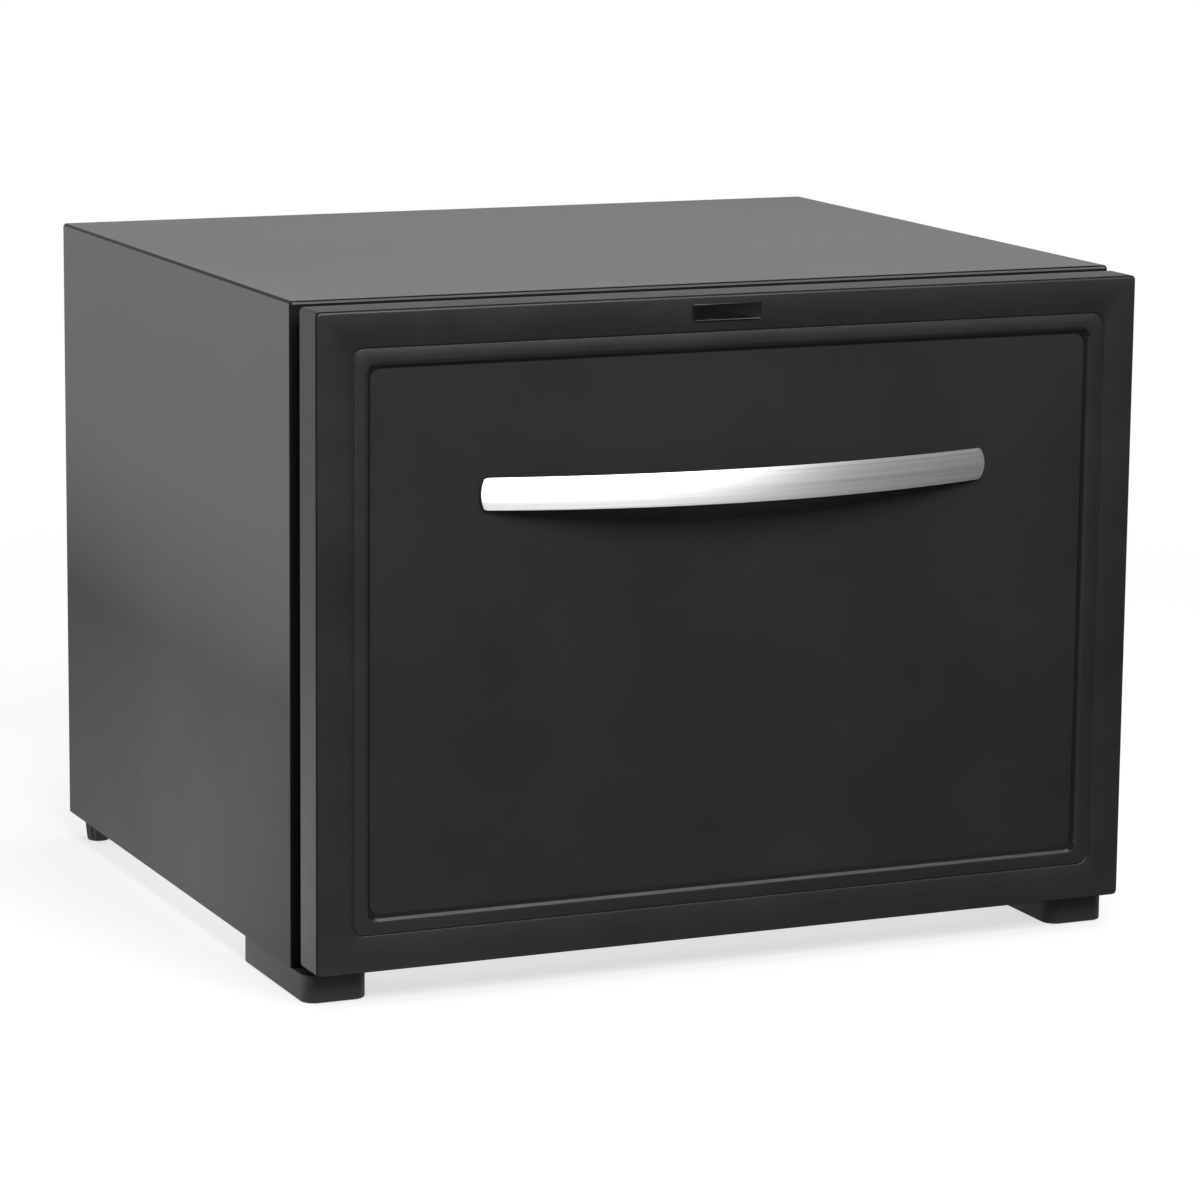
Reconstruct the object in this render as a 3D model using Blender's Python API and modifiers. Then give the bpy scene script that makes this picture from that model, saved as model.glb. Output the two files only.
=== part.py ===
# Drawer-front minibar refrigerator with an absorption cooling unit, in metres, +Z up.
# The drawer front faces -Y. The origin is on the floor, at the middle of the footprint.

import math

import bmesh
import bpy
from mathutils import Matrix, Vector

# Fits
CLEARANCE = 0.0003  # between pieces that touch
OVERCUT = 0.002  # how far a cutter runs past the face it opens

# Cabinet
CABINET_WIDTH = 0.550
CABINET_HEIGHT = 0.404
BAY_DEPTH = 0.100  # open bay of the cooling unit, behind the insulated box
SHEET = 0.0008  # steel of the cabinet
WRAP_CORNER = 0.0025  # bend radius of the wrap's top corners
WRAP_NOSE = 0.0015  # rounding of the wrap's front edge
FRONT_FLANGE = 0.024  # steel that the gasket's magnet pulls on
REAR_FLANGE = 0.012
TRAY_HEIGHT = 0.012
TRAY_VENTS = 7
TRAY_VENT_LENGTH = 0.060
TRAY_VENT_WIDTH = 0.006
TRAY_VENT_PITCH = 0.062
SILL_HEIGHT = 0.024

# Insulated box
SIDE_INSULATION = 0.037  # cabinet side to cavity wall
TOP_INSULATION = 0.036
BOTTOM_INSULATION = 0.036
BACK_INSULATION = 0.040  # cavity back to bulkhead
LINER = 0.0015
CAVITY_CORNER = 0.008

# Drawer front
FRONT_THICKNESS = 0.0275
GASKET_GAP = 0.012
FRONT_INSET_SIDE = 0.002  # the front is this much narrower than the cabinet at each side
FRONT_INSET_TOP = 0.002
FRONT_INSET_BOTTOM = 0.0035
FRAME_CORNER = 0.003
FRAME_ARRIS = 0.0022  # rounding of the frame's front edge
FRAME_WALL = 0.0025
GROOVE_INSET = 0.0227
GROOVE_WIDTH = 0.0016
GROOVE_DEPTH = 0.0009
GROOVE_CORNER = 0.0075
BEVEL_INSET = 0.0308
BEVEL_WIDTH = 0.0038
BEVEL_CORNER = 0.0085
PANEL_RECESS = 0.003  # frame face to panel face
PANEL_OVERLAP = 0.0095  # how far the panel runs under the frame
PANEL_THICKNESS = 0.002
LIP_EDGE = 0.0004
PLUG_CLEARANCE = 0.007  # plug to cavity wall, all round
PLUG_REACH = 0.008  # how far the plug enters the cavity
PLUG_DRAFT = 0.002
GASKET_INSET = 0.015  # front's edge to the gasket's middle
GASKET_WIDTH = 0.012
GASKET_CORNER = 0.010

# Badge plate, bare
BADGE_WIDTH = 0.0454
BADGE_HEIGHT = 0.0105
BADGE_THICKNESS = 0.0008
BADGE_EDGE = 0.0003
BADGE_OFFSET = -0.0097  # from the middle of the front
BADGE_BELOW_TOP = 0.0106  # front's top edge to the plate's middle

# Handle
HANDLE_LENGTH = 0.3376
HANDLE_REACH = 0.0285  # panel face to the outer face of the bow, at its middle
HANDLE_END_REACH = 0.0026
HANDLE_HEIGHT = 0.0207
HANDLE_END_HEIGHT = 0.0196
HANDLE_CROWN = 0.0013
HANDLE_EDGE = 0.0007
HANDLE_END_BULGE = 0.0017
HANDLE_BELOW_TOP = 0.1131  # front's top edge to the handle's middle
HANDLE_FOOT_INSET = 0.012  # handle's end to the foot's outer end
HANDLE_FOOT_LENGTH = 0.020
HANDLE_FOOT_HEIGHT = 0.012
SCREW_RADIUS = 0.0019
SCREW_HEAD_RADIUS = 0.0035
SCREW_HEAD_HEIGHT = 0.002
SCREW_BITE = 0.003  # how far the screw enters the handle foot
SCREW_CLEARANCE = 0.0003

# Feet
FOOT_HEIGHT = 0.0175
FRONT_FOOT_WIDTH = 0.039
FRONT_FOOT_BEHIND = 0.090  # behind the cabinet's face
FRONT_FOOT_AHEAD = 0.022  # ahead of it, under the drawer front
FRONT_FOOT_INSET = 0.001
FRONT_FOOT_CORNER = 0.006
FRONT_FOOT_REAR_CORNER = 0.0015
FRONT_FOOT_BOSS = 0.006
REAR_FOOT_RADIUS = 0.0095
REAR_FOOT_TIP_RADIUS = 0.0078
REAR_FOOT_FLUTES = 12
REAR_FOOT_FLUTE_DEPTH = 0.0007
REAR_FOOT_INSET_SIDE = 0.0155
REAR_FOOT_INSET_BACK = 0.0165
STUD_RADIUS = 0.003
STUD_LENGTH = 0.018
NUT_RADIUS = 0.0065
NUT_HEIGHT = 0.006

# Runners: a fixed, a middle and a drawer member each side, with a ball cage in each running gap
RUNNER_LENGTH = 0.270
RUNNER_SETBACK = 0.014  # cabinet face to the runner's front end
RUNNER_BACK_GAP = 0.016  # runner's rear end to the back of the cavity
RUNNER_ABOVE_FLOOR = 0.066  # cavity floor to the runner's middle
RUNNER_SHEET = 0.0012
RUNNER_HEIGHT = 0.0452
RACE = 0.0032  # height of a running gap
BALL_RADIUS = 0.0015
CAGE_SHEET = 0.0008
CAGE_LENGTH = 0.120
CAGE_MARGIN = 0.005
BALLS_IN_ROW = 4
RUNNER_WEB_GAP = 0.0024  # between the webs of the fixed and the middle member
RUNNER_LIP = 0.0035
RUNNER_FIXED_REACH = 0.0096  # cavity wall to the lips of the fixed member
RUNNER_MIDDLE_REACH = 0.0121
RUNNER_DRAWER_REACH = 0.0070
RUNNER_LIP_GAP = 0.0006
CAGE_REACH = 0.0052
OUTER_BALLS = 0.6  # share of the cage's reach where its balls sit
INNER_BALLS = 0.55
TRAVEL_STOP = 0.005  # runner's length that stays engaged

# Drawer body
BIN_ABOVE_FLOOR = 0.010
BIN_HEIGHT = 0.140
BIN_WALL = 0.002
BIN_CORNER = 0.018
BIN_DRAFT = 0.006
BIN_RIM = 0.005
BIN_BACK_GAP = 0.020  # bin to the back of the cavity
BIN_FRONT_GAP = 0.004
BIN_SLOT_COLUMNS = 3
BIN_SLOT_ROWS = 4
BIN_SLOT_LENGTH = 0.050
BIN_SLOT_WIDTH = 0.006
DIVIDER_THICKNESS = 0.002
DIVIDER_HEIGHT = 0.110
DIVIDER_SCOOP = 0.025
RIB_LENGTH = 0.005
RIB_WIDTH = 0.002
SIDE_FRAME_SHEET = 0.0012
SIDE_FRAME_HEIGHT = 0.083
SIDE_FRAME_FLANGE = 0.016
SIDE_FRAME_TAB = 0.025
CROSSBAR_HEIGHT = 0.050

# Inside the cavity
EVAPORATOR_WIDTH = 0.180
EVAPORATOR_HEIGHT = 0.110
EVAPORATOR_BASE = 0.003
EVAPORATOR_FIN = 0.0012
EVAPORATOR_REACH = 0.024
EVAPORATOR_FINS = 15
EVAPORATOR_BELOW_CEILING = 0.0205
BOSS_WIDTH = 0.100
BOSS_HEIGHT = 0.028
LIGHT_WIDTH = 0.120
LIGHT_DEPTH = 0.070
LIGHT_HEIGHT = 0.024
LIGHT_EDGE = 0.003
LIGHT_FROM_WALL = 0.058  # cavity wall to the housing
LIGHT_Y = 0.225  # behind the cabinet's face
LENS_WIDTH = 0.060
LENS_DEPTH = 0.036
LENS_THICKNESS = 0.002
LENS_OFFSET = -0.015  # from the housing's middle
KNOB_RADIUS = 0.0105
KNOB_LENGTH = 0.012
KNOB_FACE = 0.0085
KNOB_OFFSET = 0.038
KNOB_GRIP = 0.004
KNOB_SHAFT_RADIUS = 0.003
KNOB_SHAFT_LENGTH = 0.008

# Cooling unit, in the open bay behind the bulkhead. Heights are above the cabinet's bottom.
JACKET_RADIUS = 0.027
JACKET_EDGE = 0.003
JACKET_LOW = 0.055
JACKET_HIGH = 0.255
JACKET_FROM_SIDE = 0.090  # cabinet side to the jacket's middle
HEATER_RADIUS = 0.006
HEATER_LENGTH = 0.018
VESSEL_RADIUS = 0.026
VESSEL_DOME = 0.010
VESSEL_FROM_JACKET = 0.060  # jacket's middle to the vessel's end
VESSEL_FROM_CONTROL = 0.025
VESSEL_HEIGHT = 0.045
COIL_RADIUS = 0.0075
COIL_INSET = 0.010  # vessel's left end to the coil's
COIL_LOW = 0.095
COIL_PITCH = 0.028
COIL_RUNS = 6
CONDENSER_HEIGHT = 0.345
CONDENSER_FROM_SIDE = 0.070
CONDENSER_FROM_JACKET = 0.035
CONDENSER_TILT = 2.5  # degrees, so that the condensate runs to the evaporator
CONDENSER_RADIUS = 0.007
CONDENSER_FINS = 24
CONDENSER_FIN = 0.0008
CONDENSER_FIN_PITCH = 0.012
CONDENSER_FIN_HEIGHT = 0.046
CONDENSER_FIN_DEPTH = 0.060
RISER_RADIUS = 0.005
EVAPORATOR_TUBE_RADIUS = 0.006
EVAPORATOR_TUBE_OUT = 0.018
EVAPORATOR_TUBE_X = -0.030
EVAPORATOR_TUBE_TURN = 0.020  # condenser's left end to the tube's turn
EXCHANGER_RADIUS = 0.009
EXCHANGER_X = 0.030
EXCHANGER_BEHIND = 0.008  # behind the middle of the bay
LIQUID_TUBE_RADIUS = 0.004
LIQUID_TUBE_INSET = 0.017  # from the jacket's middle
BEND = 0.014  # radius of the thin tubes' bends
TIGHT_BEND = 0.007
LEAD_RADIUS = 0.0025
LEAD_HEIGHT = 0.085
LEAD_DROP = 0.012  # heater's end to the lowest run of its lead
LEAD_OFF_BULKHEAD = 0.004
BRACKET_WIDTH = 0.024
BRACKET_HEIGHT = 0.020

# Control box and mains inlet
CONTROL_FROM_SIDE = 0.013
CONTROL_WIDTH = 0.112
CONTROL_LOW = 0.030
CONTROL_HEIGHT = 0.100
CONTROL_DEPTH = 0.046
COVER_THICKNESS = 0.002
COVER_EDGE = 0.0006
INLET_WIDTH = 0.0275
INLET_HEIGHT = 0.020
INLET_DEPTH = 0.018
INLET_CORNER = 0.003
INLET_FLANGE = 0.002
INLET_FLANGE_MARGIN = 0.003
SOCKET_WIDTH = 0.0235
SOCKET_HEIGHT = 0.0155
SOCKET_DEPTH = 0.014

# Places worked out from the sizes above
CAVITY_DEPTH = RUNNER_SETBACK + RUNNER_LENGTH + RUNNER_BACK_GAP
BOX_DEPTH = CAVITY_DEPTH + BACK_INSULATION
CABINET_DEPTH = BOX_DEPTH + BAY_DEPTH
TRAVEL = RUNNER_LENGTH - TRAVEL_STOP
OVERALL_DEPTH = CABINET_DEPTH + GASKET_GAP + FRONT_THICKNESS + HANDLE_REACH - PANEL_RECESS
CABINET_REAR = OVERALL_DEPTH / 2
CABINET_FACE = CABINET_REAR - CABINET_DEPTH
CABINET_BOTTOM = FOOT_HEIGHT
CABINET_TOP = CABINET_BOTTOM + CABINET_HEIGHT
HALF_WIDTH = CABINET_WIDTH / 2
FRONT_BACK = CABINET_FACE - GASKET_GAP
FRONT_FACE = FRONT_BACK - FRONT_THICKNESS
FRONT_WIDTH = CABINET_WIDTH - 2 * FRONT_INSET_SIDE
FRONT_LOW = CABINET_BOTTOM + FRONT_INSET_BOTTOM
FRONT_HIGH = CABINET_TOP - FRONT_INSET_TOP
FRONT_HEIGHT = FRONT_HIGH - FRONT_LOW
FRONT_MIDDLE = (FRONT_LOW + FRONT_HIGH) / 2
CAVITY_HALF = HALF_WIDTH - SIDE_INSULATION
CAVITY_FLOOR = CABINET_BOTTOM + BOTTOM_INSULATION
CAVITY_CEILING = CABINET_TOP - TOP_INSULATION
CAVITY_HEIGHT = CAVITY_CEILING - CAVITY_FLOOR
CAVITY_MIDDLE = (CAVITY_FLOOR + CAVITY_CEILING) / 2
CAVITY_BACK = CABINET_FACE + CAVITY_DEPTH
LINER_FACE = CABINET_FACE + SHEET + CLEARANCE
TRAY_FACE = LINER_FACE + LINER + CLEARANCE
TRAY_HALF = HALF_WIDTH - SHEET - CLEARANCE
TRAY_FLOOR = CABINET_BOTTOM + SHEET
FOAM_HALF = TRAY_HALF - SHEET - CLEARANCE
FOAM_TOP = CABINET_TOP - SHEET - CLEARANCE
BULKHEAD_FACE = CABINET_FACE + BOX_DEPTH
BULKHEAD_BACK = BULKHEAD_FACE + SHEET
BAY_MIDDLE = (BULKHEAD_BACK + CABINET_REAR) / 2
PANEL_FACE = FRONT_FACE + PANEL_RECESS
PANEL_MARGIN = BEVEL_INSET + BEVEL_WIDTH - PANEL_OVERLAP
LIP_BACK = PANEL_RECESS - CLEARANCE
PLUG_FACE = CABINET_FACE + PLUG_REACH
PLUG_WIDTH = 2 * (CAVITY_HALF - PLUG_CLEARANCE)
PLUG_HEIGHT = CAVITY_HEIGHT - 2 * PLUG_CLEARANCE
HANDLE_Z = FRONT_HIGH - HANDLE_BELOW_TOP
HANDLE_SAG = HANDLE_REACH - HANDLE_END_REACH
HANDLE_ARC = ((HANDLE_LENGTH / 2) ** 2 + HANDLE_SAG**2) / (2 * HANDLE_SAG)
HANDLE_ANGLE = math.asin(HANDLE_LENGTH / 2 / HANDLE_ARC)
HANDLE_BACK = HANDLE_CROWN + HANDLE_EDGE
RUNNER_Z = CAVITY_FLOOR + RUNNER_ABOVE_FLOOR
RUNNER_FRONT = CABINET_FACE + RUNNER_SETBACK
RUNNER_WALL = CAVITY_HALF - CLEARANCE
BIN_FLOOR = CAVITY_FLOOR + BIN_ABOVE_FLOOR + SIDE_FRAME_SHEET + CLEARANCE
BIN_BACK = CAVITY_BACK - BIN_BACK_GAP
FOOT_TOP = FOOT_HEIGHT - CLEARANCE
EVAPORATOR_HIGH = CAVITY_CEILING - EVAPORATOR_BELOW_CEILING
EVAPORATOR_MIDDLE = EVAPORATOR_HIGH - EVAPORATOR_HEIGHT / 2
EVAPORATOR_BACK = CAVITY_BACK - CLEARANCE
LIGHT_X = CAVITY_HALF - LIGHT_FROM_WALL - LIGHT_WIDTH / 2
LENS_X = LIGHT_X + LENS_OFFSET
KNOB_X = LIGHT_X + KNOB_OFFSET
JACKET_X = HALF_WIDTH - JACKET_FROM_SIDE
CONTROL_X = -HALF_WIDTH + CONTROL_FROM_SIDE + CONTROL_WIDTH / 2
CONTROL_RIGHT = CONTROL_X + CONTROL_WIDTH / 2
VESSEL_LEFT = CONTROL_RIGHT + VESSEL_FROM_CONTROL
VESSEL_RIGHT = JACKET_X - VESSEL_FROM_JACKET
VESSEL_X = (VESSEL_LEFT + VESSEL_RIGHT) / 2
COIL_LEFT = VESSEL_LEFT + COIL_INSET
COIL_RIGHT = VESSEL_RIGHT
CONDENSER_LEFT = -HALF_WIDTH + CONDENSER_FROM_SIDE
CONDENSER_RIGHT = JACKET_X - CONDENSER_FROM_JACKET
EVAPORATOR_TUBE_LEFT = CONDENSER_LEFT - EVAPORATOR_TUBE_TURN
CONDENSER_SLOPE = math.radians(CONDENSER_TILT)
CONDENSER_LENGTH = CONDENSER_RIGHT - CONDENSER_LEFT
CONDENSER_RISE = CONDENSER_LENGTH / 2 * math.sin(CONDENSER_SLOPE)
CONTROL_FACE = BULKHEAD_BACK + CLEARANCE

# Runner section, measured from the cavity wall: webs, flanges and the rows of balls
FIXED_WEB = RUNNER_SHEET / 2
FIXED_FLANGE = RUNNER_HEIGHT / 2 - RUNNER_SHEET / 2
MIDDLE_WEB = RUNNER_SHEET + RUNNER_WEB_GAP + RUNNER_SHEET / 2
MIDDLE_FLANGE = FIXED_FLANGE - RUNNER_SHEET - RACE
DRAWER_FLANGE = MIDDLE_FLANGE - RUNNER_SHEET - RACE
OUTER_ROW = FIXED_FLANGE - RUNNER_SHEET / 2 - RACE / 2
INNER_ROW = MIDDLE_FLANGE - RUNNER_SHEET / 2 - RACE / 2
DRAWER_WEB = RUNNER_MIDDLE_REACH + RUNNER_SHEET + RUNNER_LIP_GAP
RUNNER_THICKNESS = DRAWER_WEB + RUNNER_SHEET / 2
SIDE_FRAME_X = RUNNER_WALL - RUNNER_THICKNESS - CLEARANCE - SIDE_FRAME_SHEET / 2
BIN_HALF = SIDE_FRAME_X - SIDE_FRAME_SHEET / 2 - CLEARANCE


def new_collection(name):
    collection = bpy.data.collections.new(name)
    bpy.context.scene.collection.children.link(collection)
    return collection


def make_material(name, colour, roughness, metallic=0.0):
    material = bpy.data.materials.new(name)
    material.use_nodes = True
    shader = material.node_tree.nodes["Principled BSDF"]
    shader.inputs["Base Color"].default_value = (*colour, 1.0)
    shader.inputs["Roughness"].default_value = roughness
    shader.inputs["Metallic"].default_value = metallic
    return material


for old in list(bpy.data.objects):
    bpy.data.objects.remove(old, do_unlink=True)

PARTS = new_collection("drawer_minibar")
CUTTERS = new_collection("cutters")

CHARCOAL_PAINT = make_material("charcoal_paint", (0.050, 0.050, 0.052), 0.45, 0.1)
ZINC = make_material("zinc_sheet", (0.48, 0.49, 0.50), 0.42, 0.9)
FOAM = make_material("insulation_foam", (0.78, 0.66, 0.40), 0.9)
WHITE_LINER = make_material("white_liner", (0.80, 0.81, 0.80), 0.35)
BLACK_FRAME = make_material("black_frame", (0.030, 0.030, 0.031), 0.42)
BLACK_PANEL = make_material("black_panel", (0.026, 0.026, 0.027), 0.55)
BLACK_GLOSS = make_material("black_gloss", (0.010, 0.010, 0.010), 0.12)
BLACK_PLASTIC = make_material("black_plastic", (0.028, 0.028, 0.028), 0.55)
GASKET_RUBBER = make_material("gasket_rubber", (0.020, 0.020, 0.021), 0.8)
BRUSHED_ALUMINIUM = make_material("brushed_aluminium", (0.80, 0.80, 0.81), 0.32, 1.0)
CAST_ALUMINIUM = make_material("cast_aluminium", (0.62, 0.63, 0.64), 0.5, 0.9)
STEEL = make_material("runner_steel", (0.55, 0.56, 0.57), 0.3, 1.0)
BLACK_TUBE = make_material("black_tube", (0.018, 0.018, 0.018), 0.5, 0.3)
GREY_BIN = make_material("grey_bin", (0.60, 0.62, 0.63), 0.35)
CLEAR_PLASTIC = make_material("clear_plastic", (0.85, 0.88, 0.90), 0.08)


def finish(name, bm, material, collection=None, smooth=True):
    """An object from a bmesh, with its faces turned outwards and its round faces smooth."""
    bmesh.ops.recalc_face_normals(bm, faces=bm.faces)
    mesh = bpy.data.meshes.new(name)
    bm.to_mesh(mesh)
    bm.free()
    if smooth:
        mesh.shade_smooth()
        mesh.set_sharp_from_angle(angle=math.radians(30))
    obj = bpy.data.objects.new(name, mesh)
    (collection or PARTS).objects.link(obj)
    if material is None:
        obj.hide_render = True
        obj.display_type = "WIRE"
    else:
        mesh.materials.append(material)
    return obj


def bevel(obj, width, segments=2):
    modifier = obj.modifiers.new("rounded_edges", "BEVEL")
    modifier.width = width
    modifier.segments = segments
    modifier.limit_method = "ANGLE"
    modifier.angle_limit = math.radians(40)
    return obj


def solidify(obj, thickness, offset=0.0):
    modifier = obj.modifiers.new("wall", "SOLIDIFY")
    modifier.thickness = thickness
    modifier.offset = offset
    modifier.use_even_offset = True
    return obj


def boolean(obj, other, operation):
    modifier = obj.modifiers.new(operation.lower() + "_" + other.name, "BOOLEAN")
    modifier.operation = operation
    modifier.object = other
    return obj


def cut(obj, *cutters):
    for cutter in cutters:
        boolean(obj, cutter, "DIFFERENCE")
    return obj


def join(obj, *others):
    for other in others:
        boolean(obj, other, "UNION")
    return obj


def add_box(bm, low, high):
    low, high = Vector(low), Vector(high)
    matrix = Matrix.Translation((low + high) / 2) @ Matrix.Diagonal((*(high - low), 1.0))
    return bmesh.ops.create_cube(bm, size=1.0, matrix=matrix)["verts"]


def block(name, low, high, material, rounding=0.0, segments=2):
    bm = bmesh.new()
    add_box(bm, low, high)
    obj = finish(name, bm, material, None if material else CUTTERS)
    return bevel(obj, rounding, segments) if rounding else obj


def blocks(name, boxes, material=None):
    """Several separate boxes in one object, as one cutter or one piece to join."""
    bm = bmesh.new()
    for low, high in boxes:
        add_box(bm, low, high)
    return finish(name, bm, material, None if material else CUTTERS)


def rod(name, start, end, radius, material, sides=16):
    start, end = Vector(start), Vector(end)
    turn = (end - start).to_track_quat("Z", "Y").to_matrix().to_4x4()
    bm = bmesh.new()
    bmesh.ops.create_cone(
        bm,
        cap_ends=True,
        segments=sides,
        radius1=radius,
        radius2=radius,
        depth=(end - start).length,
        matrix=Matrix.Translation((start + end) / 2) @ turn,
    )
    return finish(name, bm, material, None if material else CUTTERS)


def pipe(name, points, radius, material, resolution=2):
    curve = bpy.data.curves.new(name, "CURVE")
    curve.dimensions = "3D"
    curve.bevel_depth = radius
    curve.bevel_resolution = resolution
    curve.use_fill_caps = True
    spline = curve.splines.new("POLY")
    spline.points.add(len(points) - 1)
    for point, place in zip(spline.points, points):
        point.co = (*place, 1.0)
        point.radius = 1.0
    curve.materials.append(material)
    obj = bpy.data.objects.new(name, curve)
    PARTS.objects.link(obj)
    return obj


def bent(corners, radius, steps=3):
    """A route through these corners, with each corner rounded by an arc of this radius."""
    corners = [Vector(c) for c in corners]
    route = [corners[0]]
    for before, corner, after in zip(corners, corners[1:], corners[2:]):
        towards, away = (before - corner).normalized(), (after - corner).normalized()
        half = towards.angle(away) / 2
        reach = radius / math.tan(half)
        centre = corner + (towards + away).normalized() * (radius / math.sin(half))
        first, last = corner + towards * reach - centre, corner + away * reach - centre
        turn = math.pi - 2 * half
        for step in range(steps + 1):
            share = step / steps
            weights = math.sin((1 - share) * turn), math.sin(share * turn)
            route.append(centre + (first * weights[0] + last * weights[1]) / math.sin(turn))
    return route + [corners[-1]]


def prism(name, outline, axis, low, high, material):
    """A flat outline made thick along one axis. The outline's two numbers are the other axes, in order."""
    bm = bmesh.new()
    face = bm.faces.new([bm.verts.new(along(axis, low, u, v)) for u, v in outline])
    made = bmesh.ops.extrude_face_region(bm, geom=[face])["geom"]
    moved = [v for v in made if isinstance(v, bmesh.types.BMVert)]
    bmesh.ops.translate(bm, verts=moved, vec=along(axis, high - low, 0.0, 0.0))
    return finish(name, bm, material, None if material else CUTTERS)


def along(axis, level, u, v):
    return {"X": Vector((level, u, v)), "Y": Vector((u, level, v)), "Z": Vector((u, v, level))}[axis]


def folded_sheet(name, outline, axis, low, high, thickness, material):
    """Sheet metal folded along an open outline, and made thick about its middle."""
    bm = bmesh.new()
    rows = [[bm.verts.new(along(axis, level, u, v)) for u, v in outline] for level in (low, high)]
    for i in range(len(outline) - 1):
        bm.faces.new((rows[0][i], rows[0][i + 1], rows[1][i + 1], rows[1][i]))
    return solidify(finish(name, bm, material), thickness)


def rounded(width, height, radii, steps=3):
    """Points of a rectangle with round corners, anticlockwise from its right side."""
    radii = radii if isinstance(radii, tuple) else (radii,) * 4
    points = []
    for corner, (side, level) in enumerate(((1, 1), (-1, 1), (-1, -1), (1, -1))):
        radius = radii[corner]
        middle = side * (width / 2 - radius), level * (height / 2 - radius)
        for step in range(steps + 1):
            angle = math.pi / 2 * (corner + step / steps)
            points.append((middle[0] + radius * math.cos(angle), middle[1] + radius * math.sin(angle)))
    return points


def section(axis, level, width, height, radii, centre=(0.0, 0.0), steps=3):
    return [along(axis, level, centre[0] + u, centre[1] + v) for u, v in rounded(width, height, radii, steps)]


def loft(name, sections, material, ring=False):
    """A skin over sections with the same number of points. A ring closes on its first section."""
    bm = bmesh.new()
    rows = [[bm.verts.new(point) for point in points] for points in sections]
    pairs = list(zip(rows, rows[1:])) + ([(rows[-1], rows[0])] if ring else [])
    for one, other in pairs:
        for i in range(len(one)):
            j = (i + 1) % len(one)
            bm.faces.new((one[i], one[j], other[j], other[i]))
    if not ring:
        bm.faces.new(rows[0])
        bm.faces.new(rows[-1])
    return finish(name, bm, material, None if material else CUTTERS)


def turned(name, profile, material, place, direction=(0, 0, 1), steps=20):
    """A solid of revolution. The profile is (radius, height) from the axis, down its outer side."""
    bm = bmesh.new()
    verts = [bm.verts.new((radius, 0.0, height)) for radius, height in profile]
    for first, second in zip(verts, verts[1:]):
        bm.edges.new((first, second))
    mesh = bpy.data.meshes.new(name)
    bm.to_mesh(mesh)
    bm.free()
    obj = bpy.data.objects.new(name, mesh)
    (PARTS if material else CUTTERS).objects.link(obj)
    if material:
        mesh.materials.append(material)
    else:
        obj.hide_render = True
        obj.display_type = "WIRE"
    modifier = obj.modifiers.new("turned", "SCREW")
    modifier.steps = steps
    modifier.render_steps = steps
    modifier.use_merge_vertices = True
    modifier.merge_threshold = 0.00001
    obj.location = place
    obj.rotation_euler = Vector(direction).to_track_quat("Z", "Y").to_euler()
    return obj


def sides():
    return (("left", -1), ("right", 1))


# Cabinet shell


def wrap_line(inset, level, steps=3):
    """The wrap's outline at one depth: up the left side, over the top and down the right."""
    half = HALF_WIDTH - SHEET / 2 - inset
    top = CABINET_TOP - SHEET / 2 - inset
    radius = max(WRAP_CORNER - inset, SHEET)
    line = [(-half, CABINET_BOTTOM)]
    for corner in (1, 0):
        middle = (half - radius) * (-1 if corner else 1)
        for step in range(steps + 1):
            angle = math.pi / 2 * (corner + 1 - step / steps)
            line.append((middle + radius * math.cos(angle), top - radius + radius * math.sin(angle)))
    line.append((half, CABINET_BOTTOM))
    return [Vector((x, level, z)) for x, z in line]


def outer_wrap():
    face = CABINET_FACE + SHEET / 2
    rear = CABINET_REAR - SHEET / 2
    rows = [
        wrap_line(FRONT_FLANGE, face),
        wrap_line(WRAP_NOSE, face),
        wrap_line(0.0, face + WRAP_NOSE),
        wrap_line(0.0, rear),
        wrap_line(REAR_FLANGE, rear),
    ]
    bm = bmesh.new()
    verts = [[bm.verts.new(point) for point in row] for row in rows]
    for one, other in zip(verts, verts[1:]):
        for i in range(len(one) - 1):
            bm.faces.new((one[i], one[i + 1], other[i + 1], other[i]))
    return solidify(finish("outer_wrap", bm, CHARCOAL_PAINT), SHEET)


def front_sill():
    """Closes the bottom of the cabinet's face between the wrap's flanges."""
    half = HALF_WIDTH - FRONT_FLANGE - SHEET - CLEARANCE
    low = (-half, CABINET_FACE, CABINET_BOTTOM)
    high = (half, CABINET_FACE + SHEET, CABINET_BOTTOM + SILL_HEIGHT)
    return block("front_sill", low, high, CHARCOAL_PAINT)


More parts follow.
